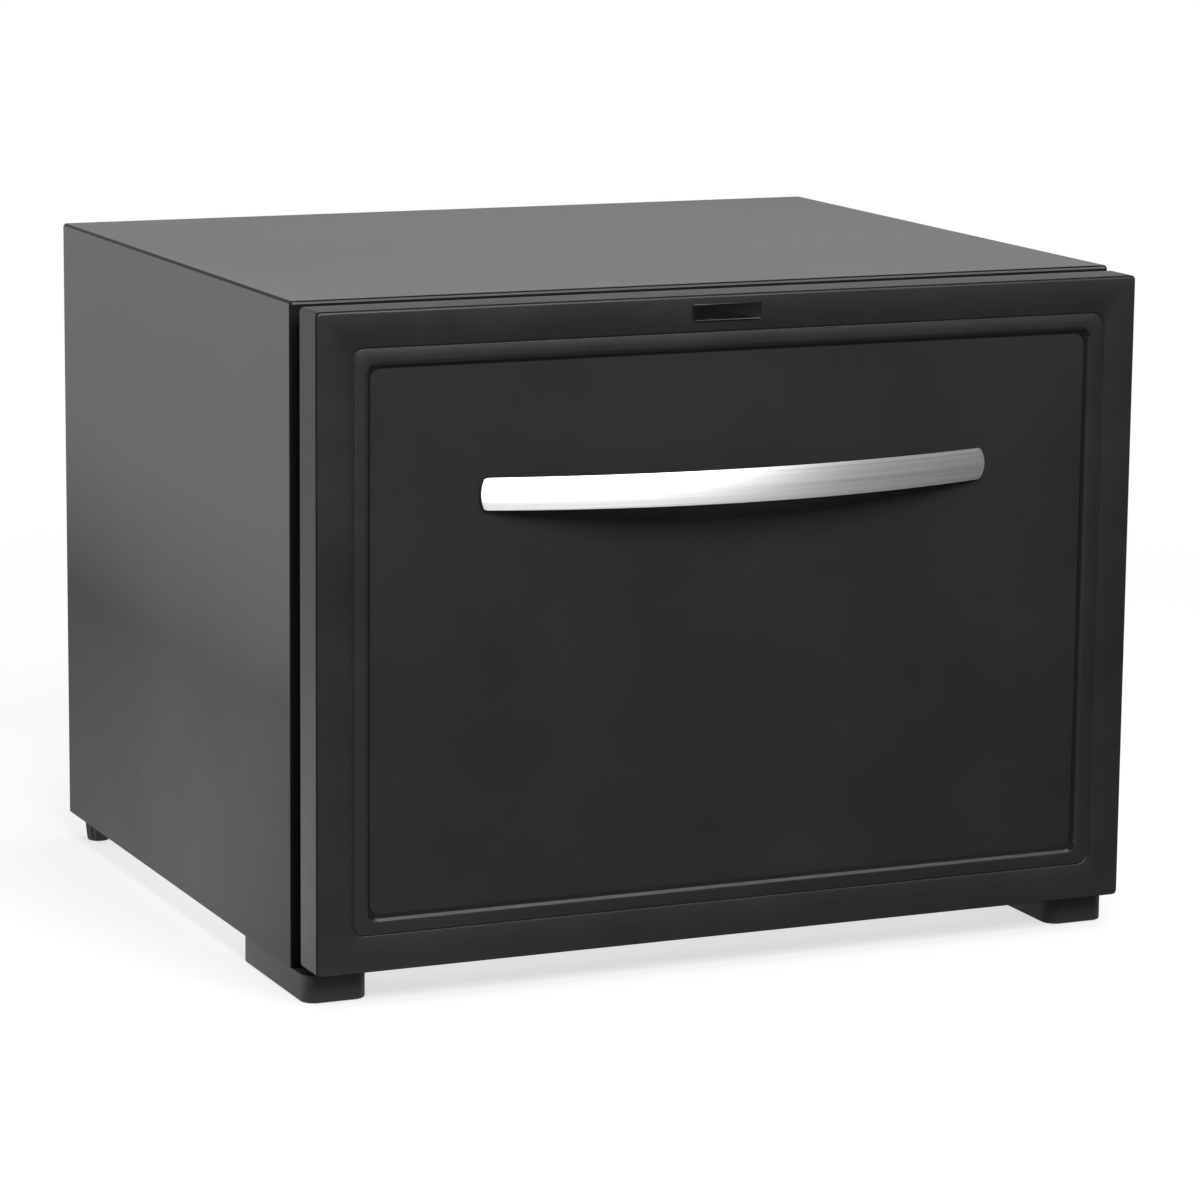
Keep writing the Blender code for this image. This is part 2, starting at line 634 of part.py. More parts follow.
def base_tray():
    bm = bmesh.new()
    rear = CABINET_REAR - SHEET - CLEARANCE
    add_box(bm, (-TRAY_HALF, TRAY_FACE, CABINET_BOTTOM), (TRAY_HALF, rear, CABINET_BOTTOM + TRAY_HEIGHT))
    bmesh.ops.recalc_face_normals(bm, faces=bm.faces)
    lid = max(bm.faces, key=lambda face: face.calc_center_median().z)
    bmesh.ops.delete(bm, geom=[lid], context="FACES_ONLY")
    mesh = bpy.data.meshes.new("base_tray")
    bm.to_mesh(mesh)
    bm.free()
    mesh.materials.append(ZINC)
    tray = bpy.data.objects.new("base_tray", mesh)
    PARTS.objects.link(tray)
    solidify(tray, SHEET, -1.0)
    under, over = CABINET_BOTTOM - OVERCUT, TRAY_FLOOR + OVERCUT
    half, reach = TRAY_VENT_WIDTH / 2, TRAY_VENT_LENGTH / 2
    vents = []
    for i in range(TRAY_VENTS):
        x = (i - (TRAY_VENTS - 1) / 2) * TRAY_VENT_PITCH
        vents.append(((x - half, BAY_MIDDLE - reach, under), (x + half, BAY_MIDDLE + reach, over)))
    cut(tray, blocks("tray_vents", vents))
    for side, sign in sides():
        x, y = front_foot_middle(sign)
        hole = (x, y, under), (x, y, over)
        cut(tray, rod("tray_boss_hole_" + side, *hole, FRONT_FOOT_BOSS + CLEARANCE, None))
        x, y = rear_foot_middle(sign)
        hole = (x, y, under), (x, y, over)
        cut(tray, rod("tray_stud_hole_" + side, *hole, STUD_RADIUS + CLEARANCE, None))
    return tray


def front_foot_middle(sign):
    x = sign * (HALF_WIDTH - FRONT_FOOT_INSET - FRONT_FOOT_WIDTH / 2)
    return x, CABINET_FACE + (FRONT_FOOT_BEHIND - FRONT_FOOT_AHEAD) / 2


def rear_foot_middle(sign):
    return sign * (HALF_WIDTH - REAR_FOOT_INSET_SIDE), CABINET_REAR - REAR_FOOT_INSET_BACK


def cavity_section(level, grow=0.0, corner=CAVITY_CORNER):
    """The cavity's outline at one depth, this much larger at each side."""
    return section("Y", level, 2 * (CAVITY_HALF + grow), CAVITY_HEIGHT + 2 * grow, corner, (0, CAVITY_MIDDLE))


def inner_liner():
    """The white tub of the cavity, with a flange behind the wrap's."""
    flange_low, flange_high = TRAY_FLOOR, FOAM_TOP - WRAP_NOSE
    flange = 2 * (TRAY_HALF - WRAP_NOSE), flange_high - flange_low
    middle = 0, (flange_low + flange_high) / 2
    half = CAVITY_CORNER / 2
    outer_corner = CAVITY_CORNER + LINER
    sections = [
        cavity_section(CAVITY_BACK + LINER, -half, half),
        cavity_section(CAVITY_BACK - half, LINER, outer_corner),
        cavity_section(LINER_FACE + LINER, LINER, outer_corner),
        section("Y", LINER_FACE + LINER, *flange, CAVITY_CORNER, middle),
        section("Y", LINER_FACE, *flange, CAVITY_CORNER, middle),
        cavity_section(LINER_FACE),
        cavity_section(CAVITY_BACK - half),
        cavity_section(CAVITY_BACK, -half, half),
    ]
    liner = loft("inner_liner", sections, WHITE_LINER)
    ends = CAVITY_BACK - OVERCUT, CAVITY_BACK + LINER + OVERCUT
    return cut(liner, evaporator_opening("liner_opening", *ends))


def evaporator_opening(name, front, back, margin=CLEARANCE):
    half, tall = BOSS_WIDTH / 2 + margin, BOSS_HEIGHT / 2 + margin
    low = (-half, front, EVAPORATOR_MIDDLE - tall)
    return block(name, low, (half, back, EVAPORATOR_MIDDLE + tall), None)


def insulation():
    front = LINER_FACE + LINER + CLEARANCE + SHEET + CLEARANCE
    foam = block(
        "insulation",
        (-FOAM_HALF, front, TRAY_FLOOR + CLEARANCE),
        (FOAM_HALF, BULKHEAD_FACE - CLEARANCE, FOAM_TOP),
        FOAM,
    )
    grow = LINER + CLEARANCE
    space = cavity_section(front - OVERCUT, grow), cavity_section(CAVITY_BACK + grow, grow)
    cut(foam, loft("cavity_space", space, None))
    return cut(foam, evaporator_opening("foam_opening", CAVITY_BACK, BULKHEAD_FACE + OVERCUT))


def bulkhead():
    low = (-FOAM_HALF, BULKHEAD_FACE, TRAY_FLOOR + CLEARANCE)
    panel = block("bulkhead", low, (FOAM_HALF, BULKHEAD_BACK, FOAM_TOP), ZINC)
    ends = BULKHEAD_FACE - OVERCUT, BULKHEAD_BACK + OVERCUT
    return cut(panel, evaporator_opening("bulkhead_opening", *ends))


# Feet


def front_foot(side, sign):
    x, y = front_foot_middle(sign)
    size = FRONT_FOOT_WIDTH, FRONT_FOOT_BEHIND + FRONT_FOOT_AHEAD
    radii = (FRONT_FOOT_REAR_CORNER,) * 2 + (FRONT_FOOT_CORNER,) * 2
    outline = [(x + u, y + v) for u, v in rounded(*size, radii)]
    foot = prism("front_foot_" + side, outline, "Z", 0.0, FOOT_TOP, BLACK_PLASTIC)
    boss = rod("boss_" + side, (x, y, FOOT_TOP - OVERCUT), (x, y, TRAY_FLOOR), FRONT_FOOT_BOSS, None)
    boss.hide_render = True
    return join(foot, boss)


def rear_foot(side, sign):
    """A fluted levelling foot with its stud, turning on its own axis."""
    x, y = rear_foot_middle(sign)
    chamfer = 0.0008
    levels = (
        (0.0, REAR_FOOT_TIP_RADIUS - chamfer),
        (chamfer, REAR_FOOT_TIP_RADIUS),
        (FOOT_TOP - chamfer, REAR_FOOT_RADIUS),
        (FOOT_TOP, REAR_FOOT_RADIUS - chamfer),
    )
    sections = []
    for level, radius in levels:
        ring = []
        for i in range(2 * REAR_FOOT_FLUTES):
            angle = math.pi * i / REAR_FOOT_FLUTES
            reach = radius - (i % 2) * REAR_FOOT_FLUTE_DEPTH
            ring.append(Vector((reach * math.cos(angle), reach * math.sin(angle), level)))
        sections.append(ring)
    foot = loft("rear_foot_" + side, sections, BLACK_PLASTIC)
    ends = (0, 0, FOOT_TOP - OVERCUT), (0, 0, FOOT_TOP + STUD_LENGTH)
    stud = rod("stud_" + side, *ends, STUD_RADIUS, None, 12)
    foot.location = stud.location = (x, y, 0.0)
    return join(foot, stud)


def foot_nut(side, sign):
    x, y = rear_foot_middle(sign)
    low = TRAY_FLOOR + CLEARANCE
    nut = rod("foot_nut_" + side, (x, y, low), (x, y, low + NUT_HEIGHT), NUT_RADIUS, STEEL, 6)
    hole = (x, y, low - OVERCUT), (x, y, low + NUT_HEIGHT + OVERCUT)
    return cut(nut, rod("nut_hole_" + side, *hole, STUD_RADIUS + CLEARANCE, None, 12))


# Drawer front


def front_section(inset, depth, corner):
    """A section of the drawer front, set in from its outline, at this depth behind its face."""
    size = FRONT_WIDTH - 2 * inset, FRONT_HEIGHT - 2 * inset
    return section("Y", FRONT_FACE + depth, *size, corner, (0, FRONT_MIDDLE))


def front_frame():
    """Moulded frame: round arris, a fine groove, and a bevel down to the recessed panel."""
    arc = [math.pi / 4 * i for i in range(3)]
    rings = [front_section(0.0, FRONT_THICKNESS, FRAME_CORNER)]
    for angle in arc:
        inset = FRAME_ARRIS * (1 - math.cos(angle))
        depth = FRAME_ARRIS * (1 - math.sin(angle))
        rings.append(front_section(inset, depth, FRAME_CORNER - inset))
    half, quarter = GROOVE_WIDTH / 2, GROOVE_WIDTH / 4
    for offset, depth in ((-half, 0.0), (-quarter, GROOVE_DEPTH), (quarter, GROOVE_DEPTH), (half, 0.0)):
        rings.append(front_section(GROOVE_INSET + offset, depth, GROOVE_CORNER - offset))
    inner = BEVEL_INSET + BEVEL_WIDTH
    rings.append(front_section(BEVEL_INSET, 0.0, BEVEL_CORNER))
    rings.append(front_section(inner, LIP_BACK - LIP_EDGE, BEVEL_CORNER - BEVEL_WIDTH / 2))
    rings.append(front_section(inner, LIP_BACK, BEVEL_CORNER - BEVEL_WIDTH / 2))
    rings.append(front_section(FRAME_WALL, LIP_BACK, FRAME_CORNER))
    rings.append(front_section(FRAME_WALL, FRONT_THICKNESS, FRAME_CORNER))
    return loft("front_frame", rings, BLACK_FRAME, ring=True)


def decor_panel():
    margin = PANEL_MARGIN + CLEARANCE
    faces = [front_section(margin, PANEL_RECESS + depth, FRAME_CORNER) for depth in (0.0, PANEL_THICKNESS)]
    panel = loft("decor_panel", faces, BLACK_PANEL)
    for side, sign in sides():
        x, front = handle_foot_middle(sign), PANEL_FACE - OVERCUT
        hole = (x, front, HANDLE_Z), (x, PANEL_FACE + PANEL_THICKNESS + OVERCUT, HANDLE_Z)
        cut(panel, rod("panel_hole_" + side, *hole, SCREW_RADIUS + SCREW_CLEARANCE, None, 12))
    return panel


def plug_section(level, shrink, corner):
    size = PLUG_WIDTH - 2 * shrink, PLUG_HEIGHT - 2 * shrink
    return section("Y", level, *size, corner, (0, CAVITY_MIDDLE))


def front_foam():
    edge = FRAME_WALL + CLEARANCE
    behind = PANEL_RECESS + PANEL_THICKNESS + CLEARANCE
    skin = LINER + CLEARANCE
    sections = [
        front_section(PANEL_MARGIN, behind, FRAME_CORNER),
        front_section(PANEL_MARGIN, PANEL_RECESS, FRAME_CORNER),
        front_section(edge, PANEL_RECESS, FRAME_CORNER),
        front_section(edge, FRONT_THICKNESS - skin, FRAME_CORNER),
        plug_section(FRONT_BACK - skin, skin, CAVITY_CORNER),
        plug_section(PLUG_FACE - skin, skin + PLUG_DRAFT, CAVITY_CORNER),
    ]
    foam = loft("front_foam", sections, FOAM)
    for side, sign in sides():
        x, front = handle_foot_middle(sign), PANEL_FACE
        pocket = PANEL_THICKNESS + 2 * CLEARANCE + SCREW_HEAD_HEIGHT
        ends = (x, front, HANDLE_Z), (x, front + pocket, HANDLE_Z)
        cut(foam, rod("foam_pocket_" + side, *ends, SCREW_HEAD_RADIUS + CLEARANCE, None, 12))
    return foam


def front_liner():
    """The inner skin of the drawer front, with the plug that enters the cavity."""
    edge = FRAME_WALL + CLEARANCE
    sections = [
        plug_section(PLUG_FACE, PLUG_DRAFT, CAVITY_CORNER),
        plug_section(FRONT_BACK, 0.0, CAVITY_CORNER),
        front_section(edge, FRONT_THICKNESS, FRAME_CORNER),
        front_section(edge, FRONT_THICKNESS - LINER, FRAME_CORNER),
        plug_section(FRONT_BACK - LINER, LINER, CAVITY_CORNER),
        plug_section(PLUG_FACE - LINER, LINER + PLUG_DRAFT, CAVITY_CORNER),
    ]
    return loft("front_liner", sections, WHITE_LINER)


def gasket():
    """Magnetic bellows gasket: a foot on the liner, a soft neck and the magnet's bulb."""
    half, near, far = GASKET_WIDTH / 2, CLEARANCE, GASKET_GAP - CLEARANCE
    bulb = GASKET_GAP * 0.5
    outer = [
        (half, near),
        (half, near + GASKET_GAP * 0.15),
        (half * 0.55, near + GASKET_GAP * 0.25),
        (half * 0.9, bulb * 0.92),
        (half, bulb),
        (half, far),
    ]
    profile = outer + [(-offset, depth) for offset, depth in reversed(outer)]
    rings = [
        front_section(GASKET_INSET + offset, FRONT_THICKNESS + depth, GASKET_CORNER - offset)
        for offset, depth in profile
    ]
    return loft("gasket", rings, GASKET_RUBBER, ring=True)


def badge_plate():
    x, z = BADGE_OFFSET, FRONT_HIGH - BADGE_BELOW_TOP
    back = FRONT_FACE - CLEARANCE
    low = (x - BADGE_WIDTH / 2, back - BADGE_THICKNESS, z - BADGE_HEIGHT / 2)
    high = (x + BADGE_WIDTH / 2, back, z + BADGE_HEIGHT / 2)
    return block("badge_plate", low, high, BLACK_GLOSS, BADGE_EDGE, 1)


# Handle


def handle_point(angle, offset, height):
    """A point of the bow: along it by this angle, and off its outer face by this offset."""
    reach = HANDLE_ARC + offset
    middle = PANEL_FACE - HANDLE_REACH + HANDLE_ARC
    return Vector((reach * math.sin(angle), middle - reach * math.cos(angle), HANDLE_Z + height))


def handle_band():
    stations, rows = 20, 4
    sections = []
    for i in range(stations + 1):
        share = 2 * i / stations - 1
        height = HANDLE_HEIGHT - (HANDLE_HEIGHT - HANDLE_END_HEIGHT) * share**2
        loop = []
        for j in range(rows + 1):
            level = 2 * j / rows - 1
            angle = share * (HANDLE_ANGLE - HANDLE_END_BULGE / HANDLE_ARC * level**2)
            loop.append(handle_point(angle, -HANDLE_CROWN * level**2, height / 2 * level))
        for level in (1, -1):
            angle = share * (HANDLE_ANGLE - HANDLE_END_BULGE / HANDLE_ARC)
            loop.append(handle_point(angle, -HANDLE_BACK, height / 2 * level))
        sections.append(loop)
    return loft("handle_band", sections, BRUSHED_ALUMINIUM)


def handle_foot_middle(sign):
    return sign * (HANDLE_LENGTH / 2 - HANDLE_FOOT_INSET - HANDLE_FOOT_LENGTH / 2)


def handle_inside(x):
    """Where the bow's inner face is, at this distance from the middle."""
    reach = HANDLE_ARC - HANDLE_BACK
    middle = PANEL_FACE - HANDLE_REACH + HANDLE_ARC
    return middle - math.sqrt(reach**2 - x**2)


def handle_foot(side, sign):
    """A wedge that carries the bow's end on the panel."""
    x, half = handle_foot_middle(sign), HANDLE_FOOT_LENGTH / 2
    seat = PANEL_FACE - CLEARANCE
    steps = 4
    outline = [(x - half, seat), (x + half, seat)]
    for i in range(steps + 1):
        at = x + half - 2 * half * i / steps
        outline.append((at, handle_inside(at) + CLEARANCE))
    low, high = HANDLE_Z - HANDLE_FOOT_HEIGHT / 2, HANDLE_Z + HANDLE_FOOT_HEIGHT / 2
    foot = prism("handle_foot_" + side, outline, "Z", low, high, CAST_ALUMINIUM)
    hole = (x, seat - SCREW_BITE - CLEARANCE, HANDLE_Z), (x, seat + OVERCUT, HANDLE_Z)
    return cut(foot, rod("foot_bore_" + side, *hole, SCREW_RADIUS + SCREW_CLEARANCE, None, 12))


def handle_screw(side, sign):
    x, back = handle_foot_middle(sign), PANEL_FACE + PANEL_THICKNESS + CLEARANCE
    tip = PANEL_FACE - CLEARANCE - SCREW_BITE
    profile = [
        (0.0, back - tip + SCREW_HEAD_HEIGHT),
        (SCREW_HEAD_RADIUS * 0.7, back - tip + SCREW_HEAD_HEIGHT),
        (SCREW_HEAD_RADIUS, back - tip + SCREW_HEAD_HEIGHT * 0.5),
        (SCREW_HEAD_RADIUS, back - tip),
        (SCREW_RADIUS, back - tip),
        (SCREW_RADIUS, 0.0),
        (0.0, 0.0),
    ]
    return turned("handle_screw_" + side, profile, STEEL, (x, tip, HANDLE_Z), (0, 1, 0), 12)


# Runners


def channel(name, sign, web, flange, reach, lip, sheet, length, start, material):
    """A runner member: a channel whose web stands this far from the cavity wall."""
    line = [(reach, -flange), (web, -flange), (web, flange), (reach, flange)]
    if lip:
        line = [(reach, -flange + lip), *line, (reach, flange - lip)]
    outline = [(sign * (RUNNER_WALL - u), RUNNER_Z + v) for u, v in line]
    return folded_sheet(name, outline, "Y", start, start + length, sheet, material)


def runner_members(side, sign):
    members = (
        ("fixed", FIXED_WEB, FIXED_FLANGE, RUNNER_FIXED_REACH, RUNNER_LIP),
        ("middle", MIDDLE_WEB, MIDDLE_FLANGE, RUNNER_MIDDLE_REACH, RUNNER_LIP),
        ("drawer", DRAWER_WEB, DRAWER_FLANGE, RUNNER_DRAWER_REACH, 0.0),
    )
    for kind, web, flange, reach, lip in members:
        name = f"runner_{kind}_{side}"
        channel(name, sign, web, flange, reach, lip, RUNNER_SHEET, RUNNER_LENGTH, RUNNER_FRONT, STEEL)


def ball_cage(kind, side, sign, web, row, ball_share):
    """A cage that holds two rows of balls, one in each running gap between two members."""
    start = RUNNER_FRONT + TRAVEL / 4 + CAGE_MARGIN
    name = f"ball_cage_{kind}_{side}"
    reach = web + CAGE_REACH
    cage = channel(name, sign, web, row, reach, 0.0, CAGE_SHEET, CAGE_LENGTH, start, BLACK_PLASTIC)
    ball_place = web + CAGE_REACH * ball_share
    bm = bmesh.new()
    for i in range(BALLS_IN_ROW):
        y = start + CAGE_LENGTH * (i + 0.5) / BALLS_IN_ROW
        for level in (-1, 1):
            place = Matrix.Translation((sign * (RUNNER_WALL - ball_place), y, RUNNER_Z + level * row))
            bmesh.ops.create_uvsphere(bm, u_segments=6, v_segments=4, radius=BALL_RADIUS, matrix=place)
    return join(cage, finish("balls_" + kind + "_" + side, bm, None, CUTTERS))


def ball_cages(side, sign):
    outer_web = RUNNER_SHEET + RUNNER_WEB_GAP / 2
    inner_web = MIDDLE_WEB + RUNNER_SHEET / 2 + CAGE_SHEET
    ball_cage("outer", side, sign, outer_web, OUTER_ROW, OUTER_BALLS)
    ball_cage("inner", side, sign, inner_web, INNER_ROW, INNER_BALLS)


# Drawer body


def side_frame(side, sign):
    """A folded steel side with a ledge under the bin and a tab on the drawer front."""
    low = CAVITY_FLOOR + BIN_ABOVE_FLOOR
    front, half = PLUG_FACE + CLEARANCE, SIDE_FRAME_SHEET / 2
    outer, inner = SIDE_FRAME_X + half, SIDE_FRAME_X - half
    tab, ledge = outer - SIDE_FRAME_TAB, outer - SIDE_FRAME_FLANGE
    fold = front + SIDE_FRAME_SHEET
    outline = [(outer, front), (outer, BIN_BACK), (inner, BIN_BACK), (inner, fold), (tab, fold), (tab, front)]
    outline = [(sign * x, y) for x, y in outline]
    frame = prism("side_frame_" + side, outline, "Z", low, low + SIDE_FRAME_HEIGHT, ZINC)
    ends = sorted((sign * SIDE_FRAME_X, sign * ledge))
    shelf = (ends[0], fold + BIN_FRONT_GAP, low), (ends[1], BIN_BACK - half, low + SIDE_FRAME_SHEET)
    return join(frame, block("side_ledge_" + side, *shelf, None))


def rear_crossbar():
    """Joins the two side frames behind the bin, standing on their ledges."""
    half = SIDE_FRAME_X - SIDE_FRAME_SHEET / 2 - CLEARANCE
    back = BIN_BACK - SIDE_FRAME_SHEET / 2
    low = CAVITY_FLOOR + BIN_ABOVE_FLOOR + SIDE_FRAME_SHEET + CLEARANCE + SIDE_FRAME_SHEET / 2
    high = low + CROSSBAR_HEIGHT
    outline = [(back - SIDE_FRAME_FLANGE / 2, high), (back, high), (back, low)]
    return folded_sheet("rear_crossbar", outline, "X", -half, half, SIDE_FRAME_SHEET, ZINC)


def bin_box():
    """Front and back of the bin, between the drawer front's tabs and the crossbar."""
    front = PLUG_FACE + CLEARANCE + SIDE_FRAME_SHEET + BIN_FRONT_GAP
    back = BIN_BACK - SIDE_FRAME_FLANGE / 2 - 2 * SIDE_FRAME_SHEET - CLEARANCE
    return front, back


def bin_section(level, shrink):
    front, back = bin_box()
    rise = (level - BIN_FLOOR) / BIN_HEIGHT
    inset = shrink + BIN_DRAFT * (1 - rise)
    size = 2 * (BIN_HALF - BIN_RIM - inset), back - front - 2 * (BIN_RIM + inset)
    return section("Z", level, *size, max(BIN_CORNER - shrink, BIN_WALL), (0, (front + back) / 2))


def divider_places():
    return [BIN_HALF * share for share in (-1 / 3, 1 / 3)]


def bin_tub():
    """A moulded bin with drafted walls, a turned rim, slots in its floor and ribs for its dividers."""
    rim = BIN_FLOOR + BIN_HEIGHT
    lip = BIN_WALL
    sections = [
        bin_section(BIN_FLOOR, BIN_WALL),
        bin_section(BIN_FLOOR + BIN_WALL, 0.0),
        bin_section(rim - 2 * lip, 0.0),
        bin_section(rim - 2 * lip, -BIN_RIM),
        bin_section(rim, -BIN_RIM),
        bin_section(rim, BIN_WALL),
        bin_section(BIN_FLOOR + 2 * BIN_WALL, BIN_WALL),
        bin_section(BIN_FLOOR + BIN_WALL, 2 * BIN_WALL),
    ]
    tub = loft("drawer_bin", sections, GREY_BIN)
    front, back = bin_box()
    middle = (front + back) / 2
    slots = []
    for column in range(BIN_SLOT_COLUMNS):
        x = (column - (BIN_SLOT_COLUMNS - 1) / 2) * 2 * BIN_HALF / 3
        for row in range(BIN_SLOT_ROWS):
            y = middle + (row - (BIN_SLOT_ROWS - 1) / 2) * (back - front) / (BIN_SLOT_ROWS + 1)
            half = BIN_SLOT_LENGTH / 2, BIN_SLOT_WIDTH / 2
            low = (x - half[0], y - half[1], BIN_FLOOR - OVERCUT)
            slots.append((low, (x + half[0], y + half[1], BIN_FLOOR + BIN_WALL + OVERCUT)))
    cut(tub, blocks("bin_slots", slots))
    ribs = []
    low, high = BIN_FLOOR + BIN_WALL / 2, BIN_FLOOR + DIVIDER_HEIGHT
    gap = DIVIDER_THICKNESS / 2 + CLEARANCE
    for x in divider_places():
        for inner in (x - gap - RIB_WIDTH, x + gap):
            for start, end in rib_ends():
                ribs.append(((inner, start, low), (inner + RIB_WIDTH, end, high)))
    return join(tub, blocks("bin_ribs", ribs))


def rib_ends():
    """Where the ribs at the front and at the back of the bin start and end."""
    front, back = bin_box()
    wall = BIN_RIM + BIN_WALL / 2
    reach = wall + BIN_DRAFT + RIB_LENGTH
    return (front + wall, front + reach), (back - reach, back - wall)


def divider(name, x):
    """A lift-out divider with a scooped top edge for the hand."""
    front, back = bin_box()
    inset = BIN_RIM + BIN_WALL + BIN_DRAFT + CLEARANCE
    low, high = BIN_FLOOR + BIN_WALL + CLEARANCE, BIN_FLOOR + DIVIDER_HEIGHT
    start, end = front + inset, back - inset
    steps, half = 8, (end - start) / 4
    heel = BIN_WALL
    outline = [(start, low + heel), (start + heel, low), (end - heel, low), (end, low + heel), (end, high)]
    for i in range(steps + 1):
        angle = math.pi * i / steps
        outline.append(((start + end) / 2 + half * math.cos(angle), high - DIVIDER_SCOOP * math.sin(angle)))
    outline.append((start, high))
    half_thick = DIVIDER_THICKNESS / 2
    return prism(name, outline, "X", x - half_thick, x + half_thick, CLEAR_PLASTIC)


# Evaporator, light and knob inside the cavity


def evaporator_fins():
    """An aluminium comb on the cavity's back wall, with the boss that passes through the liner."""
    half, back = EVAPORATOR_WIDTH / 2, EVAPORATOR_BACK
    front, base = back - EVAPORATOR_REACH, back - EVAPORATOR_BASE
    pitch = (EVAPORATOR_WIDTH - EVAPORATOR_FIN) / (EVAPORATOR_FINS - 1)
    outline = [(half, back), (-half, back)]
    for i in range(EVAPORATOR_FINS):
        x = -half + i * pitch
        outline += [(x, front), (x + EVAPORATOR_FIN, front)]
        if i < EVAPORATOR_FINS - 1:
            outline += [(x + EVAPORATOR_FIN, base), (x + pitch, base)]
    low = EVAPORATOR_HIGH - EVAPORATOR_HEIGHT
    comb = prism("evaporator_fins", outline, "Z", low, EVAPORATOR_HIGH, CAST_ALUMINIUM)
    half, tall = BOSS_WIDTH / 2, BOSS_HEIGHT / 2
    low = (-half, base, EVAPORATOR_MIDDLE - tall)
    boss = block("evaporator_boss", low, (half, CAVITY_BACK + LINER, EVAPORATOR_MIDDLE + tall), None)
    return join(comb, boss)


def evaporator_plug():
    """Foam that closes the opening behind the evaporator, round its two tubes."""
    half, tall = BOSS_WIDTH / 2, BOSS_HEIGHT / 2
    front, back = CAVITY_BACK + LINER + CLEARANCE, BULKHEAD_BACK
    low = (-half, front, EVAPORATOR_MIDDLE - tall)
    plug = block("evaporator_plug", low, (half, back, EVAPORATOR_MIDDLE + tall), FOAM)
    for name, x, radius in (
        ("plug_bore_supply", EVAPORATOR_TUBE_X, EVAPORATOR_TUBE_RADIUS),
        ("plug_bore_return", EXCHANGER_X, EXCHANGER_RADIUS),
    ):
        ends = (x, front - OVERCUT, EVAPORATOR_MIDDLE), (x, back + OVERCUT, EVAPORATOR_MIDDLE)
        cut(plug, rod(name, *ends, radius + CLEARANCE, None, 24))
    return plug


def light_housing():
    top, y = CAVITY_CEILING - CLEARANCE, CABINET_FACE + LIGHT_Y
    low = (LIGHT_X - LIGHT_WIDTH / 2, y - LIGHT_DEPTH / 2, top - LIGHT_HEIGHT)
    high = (LIGHT_X + LIGHT_WIDTH / 2, y + LIGHT_DEPTH / 2, top)
    housing = block("light_housing", low, high, WHITE_LINER, LIGHT_EDGE)
    half, deep = LENS_WIDTH / 2 + CLEARANCE, LENS_DEPTH / 2 + CLEARANCE
    low = (LENS_X - half, y - deep, top - LIGHT_HEIGHT - OVERCUT)
    recess = LENS_THICKNESS + CLEARANCE
    high = (LENS_X + half, y + deep, top - LIGHT_HEIGHT + recess)
    x, z = KNOB_X, top - LIGHT_HEIGHT / 2
    front = y - LIGHT_DEPTH / 2
    bore = (x, front - OVERCUT, z), (x, front + KNOB_SHAFT_LENGTH + CLEARANCE, z)
    return cut(
        housing,
        block("lens_recess", low, high, None),
        rod("knob_bore", *bore, KNOB_SHAFT_RADIUS + CLEARANCE, None),
    )


def light_lens():
    under, y = CAVITY_CEILING - CLEARANCE - LIGHT_HEIGHT, CABINET_FACE + LIGHT_Y
    low = (LENS_X - LENS_WIDTH / 2, y - LENS_DEPTH / 2, under)
    high = (LENS_X + LENS_WIDTH / 2, y + LENS_DEPTH / 2, under + LENS_THICKNESS)
    return block("light_lens", low, high, CLEAR_PLASTIC)


def thermostat_knob():
    """A turned knob with a grip bar, on a shaft in the light housing."""
    front = CABINET_FACE + LIGHT_Y - LIGHT_DEPTH / 2 - CLEARANCE
    z = CAVITY_CEILING - CLEARANCE - LIGHT_HEIGHT / 2
    skirt = KNOB_LENGTH * 0.4
    profile = [
        (0.0, KNOB_SHAFT_LENGTH),
        (KNOB_SHAFT_RADIUS, KNOB_SHAFT_LENGTH),
        (KNOB_SHAFT_RADIUS, 0.0),
        (KNOB_RADIUS, 0.0),
        (KNOB_RADIUS, -skirt),
        (KNOB_FACE, -skirt - 0.001),
        (0.0, -skirt - 0.001),
    ]
    knob = turned("thermostat_knob", profile, BLACK_PLASTIC, (KNOB_X, front, z), (0, 1, 0), 24)
    low = (KNOB_X - KNOB_GRIP / 2, front - KNOB_LENGTH, z - KNOB_FACE)
    high = (KNOB_X + KNOB_GRIP / 2, front - skirt + 0.001, z + KNOB_FACE)
    return join(knob, bevel(block("knob_grip", low, high, None), 0.001, 1))


# Cooling unit


def at_bay(x, height, behind=0.0):
    return Vector((x, BAY_MIDDLE + behind, CABINET_BOTTOM + height))


def boiler_jacket():
    ends = at_bay(JACKET_X, JACKET_LOW), at_bay(JACKET_X, JACKET_HIGH)
    return bevel(rod("boiler_jacket", *ends, JACKET_RADIUS, ZINC, 24), JACKET_EDGE, 1)


def heater_cartridge():
    low, high = JACKET_LOW - CLEARANCE - HEATER_LENGTH, JACKET_LOW - CLEARANCE
    return rod("heater_cartridge", at_bay(JACKET_X, low), at_bay(JACKET_X, high), HEATER_RADIUS, STEEL, 12)


def heater_lead():
    """The heater's lead, along the bulkhead from the control box and up into the cartridge."""
    low = JACKET_LOW - HEATER_LENGTH - 2 * CLEARANCE
    wall = BULKHEAD_BACK + LEAD_OFF_BULKHEAD
    level, floor = CABINET_BOTTOM + LEAD_HEIGHT, CABINET_BOTTOM + low - LEAD_DROP
    corners = [
        (CONTROL_RIGHT + CLEARANCE, wall, level),
        (JACKET_X, wall, level),
        (JACKET_X, wall, floor),
        (JACKET_X, BAY_MIDDLE, floor),
        at_bay(JACKET_X, low),
    ]
    return pipe("heater_lead", bent(corners, TIGHT_BEND), LEAD_RADIUS, BLACK_PLASTIC, 1)


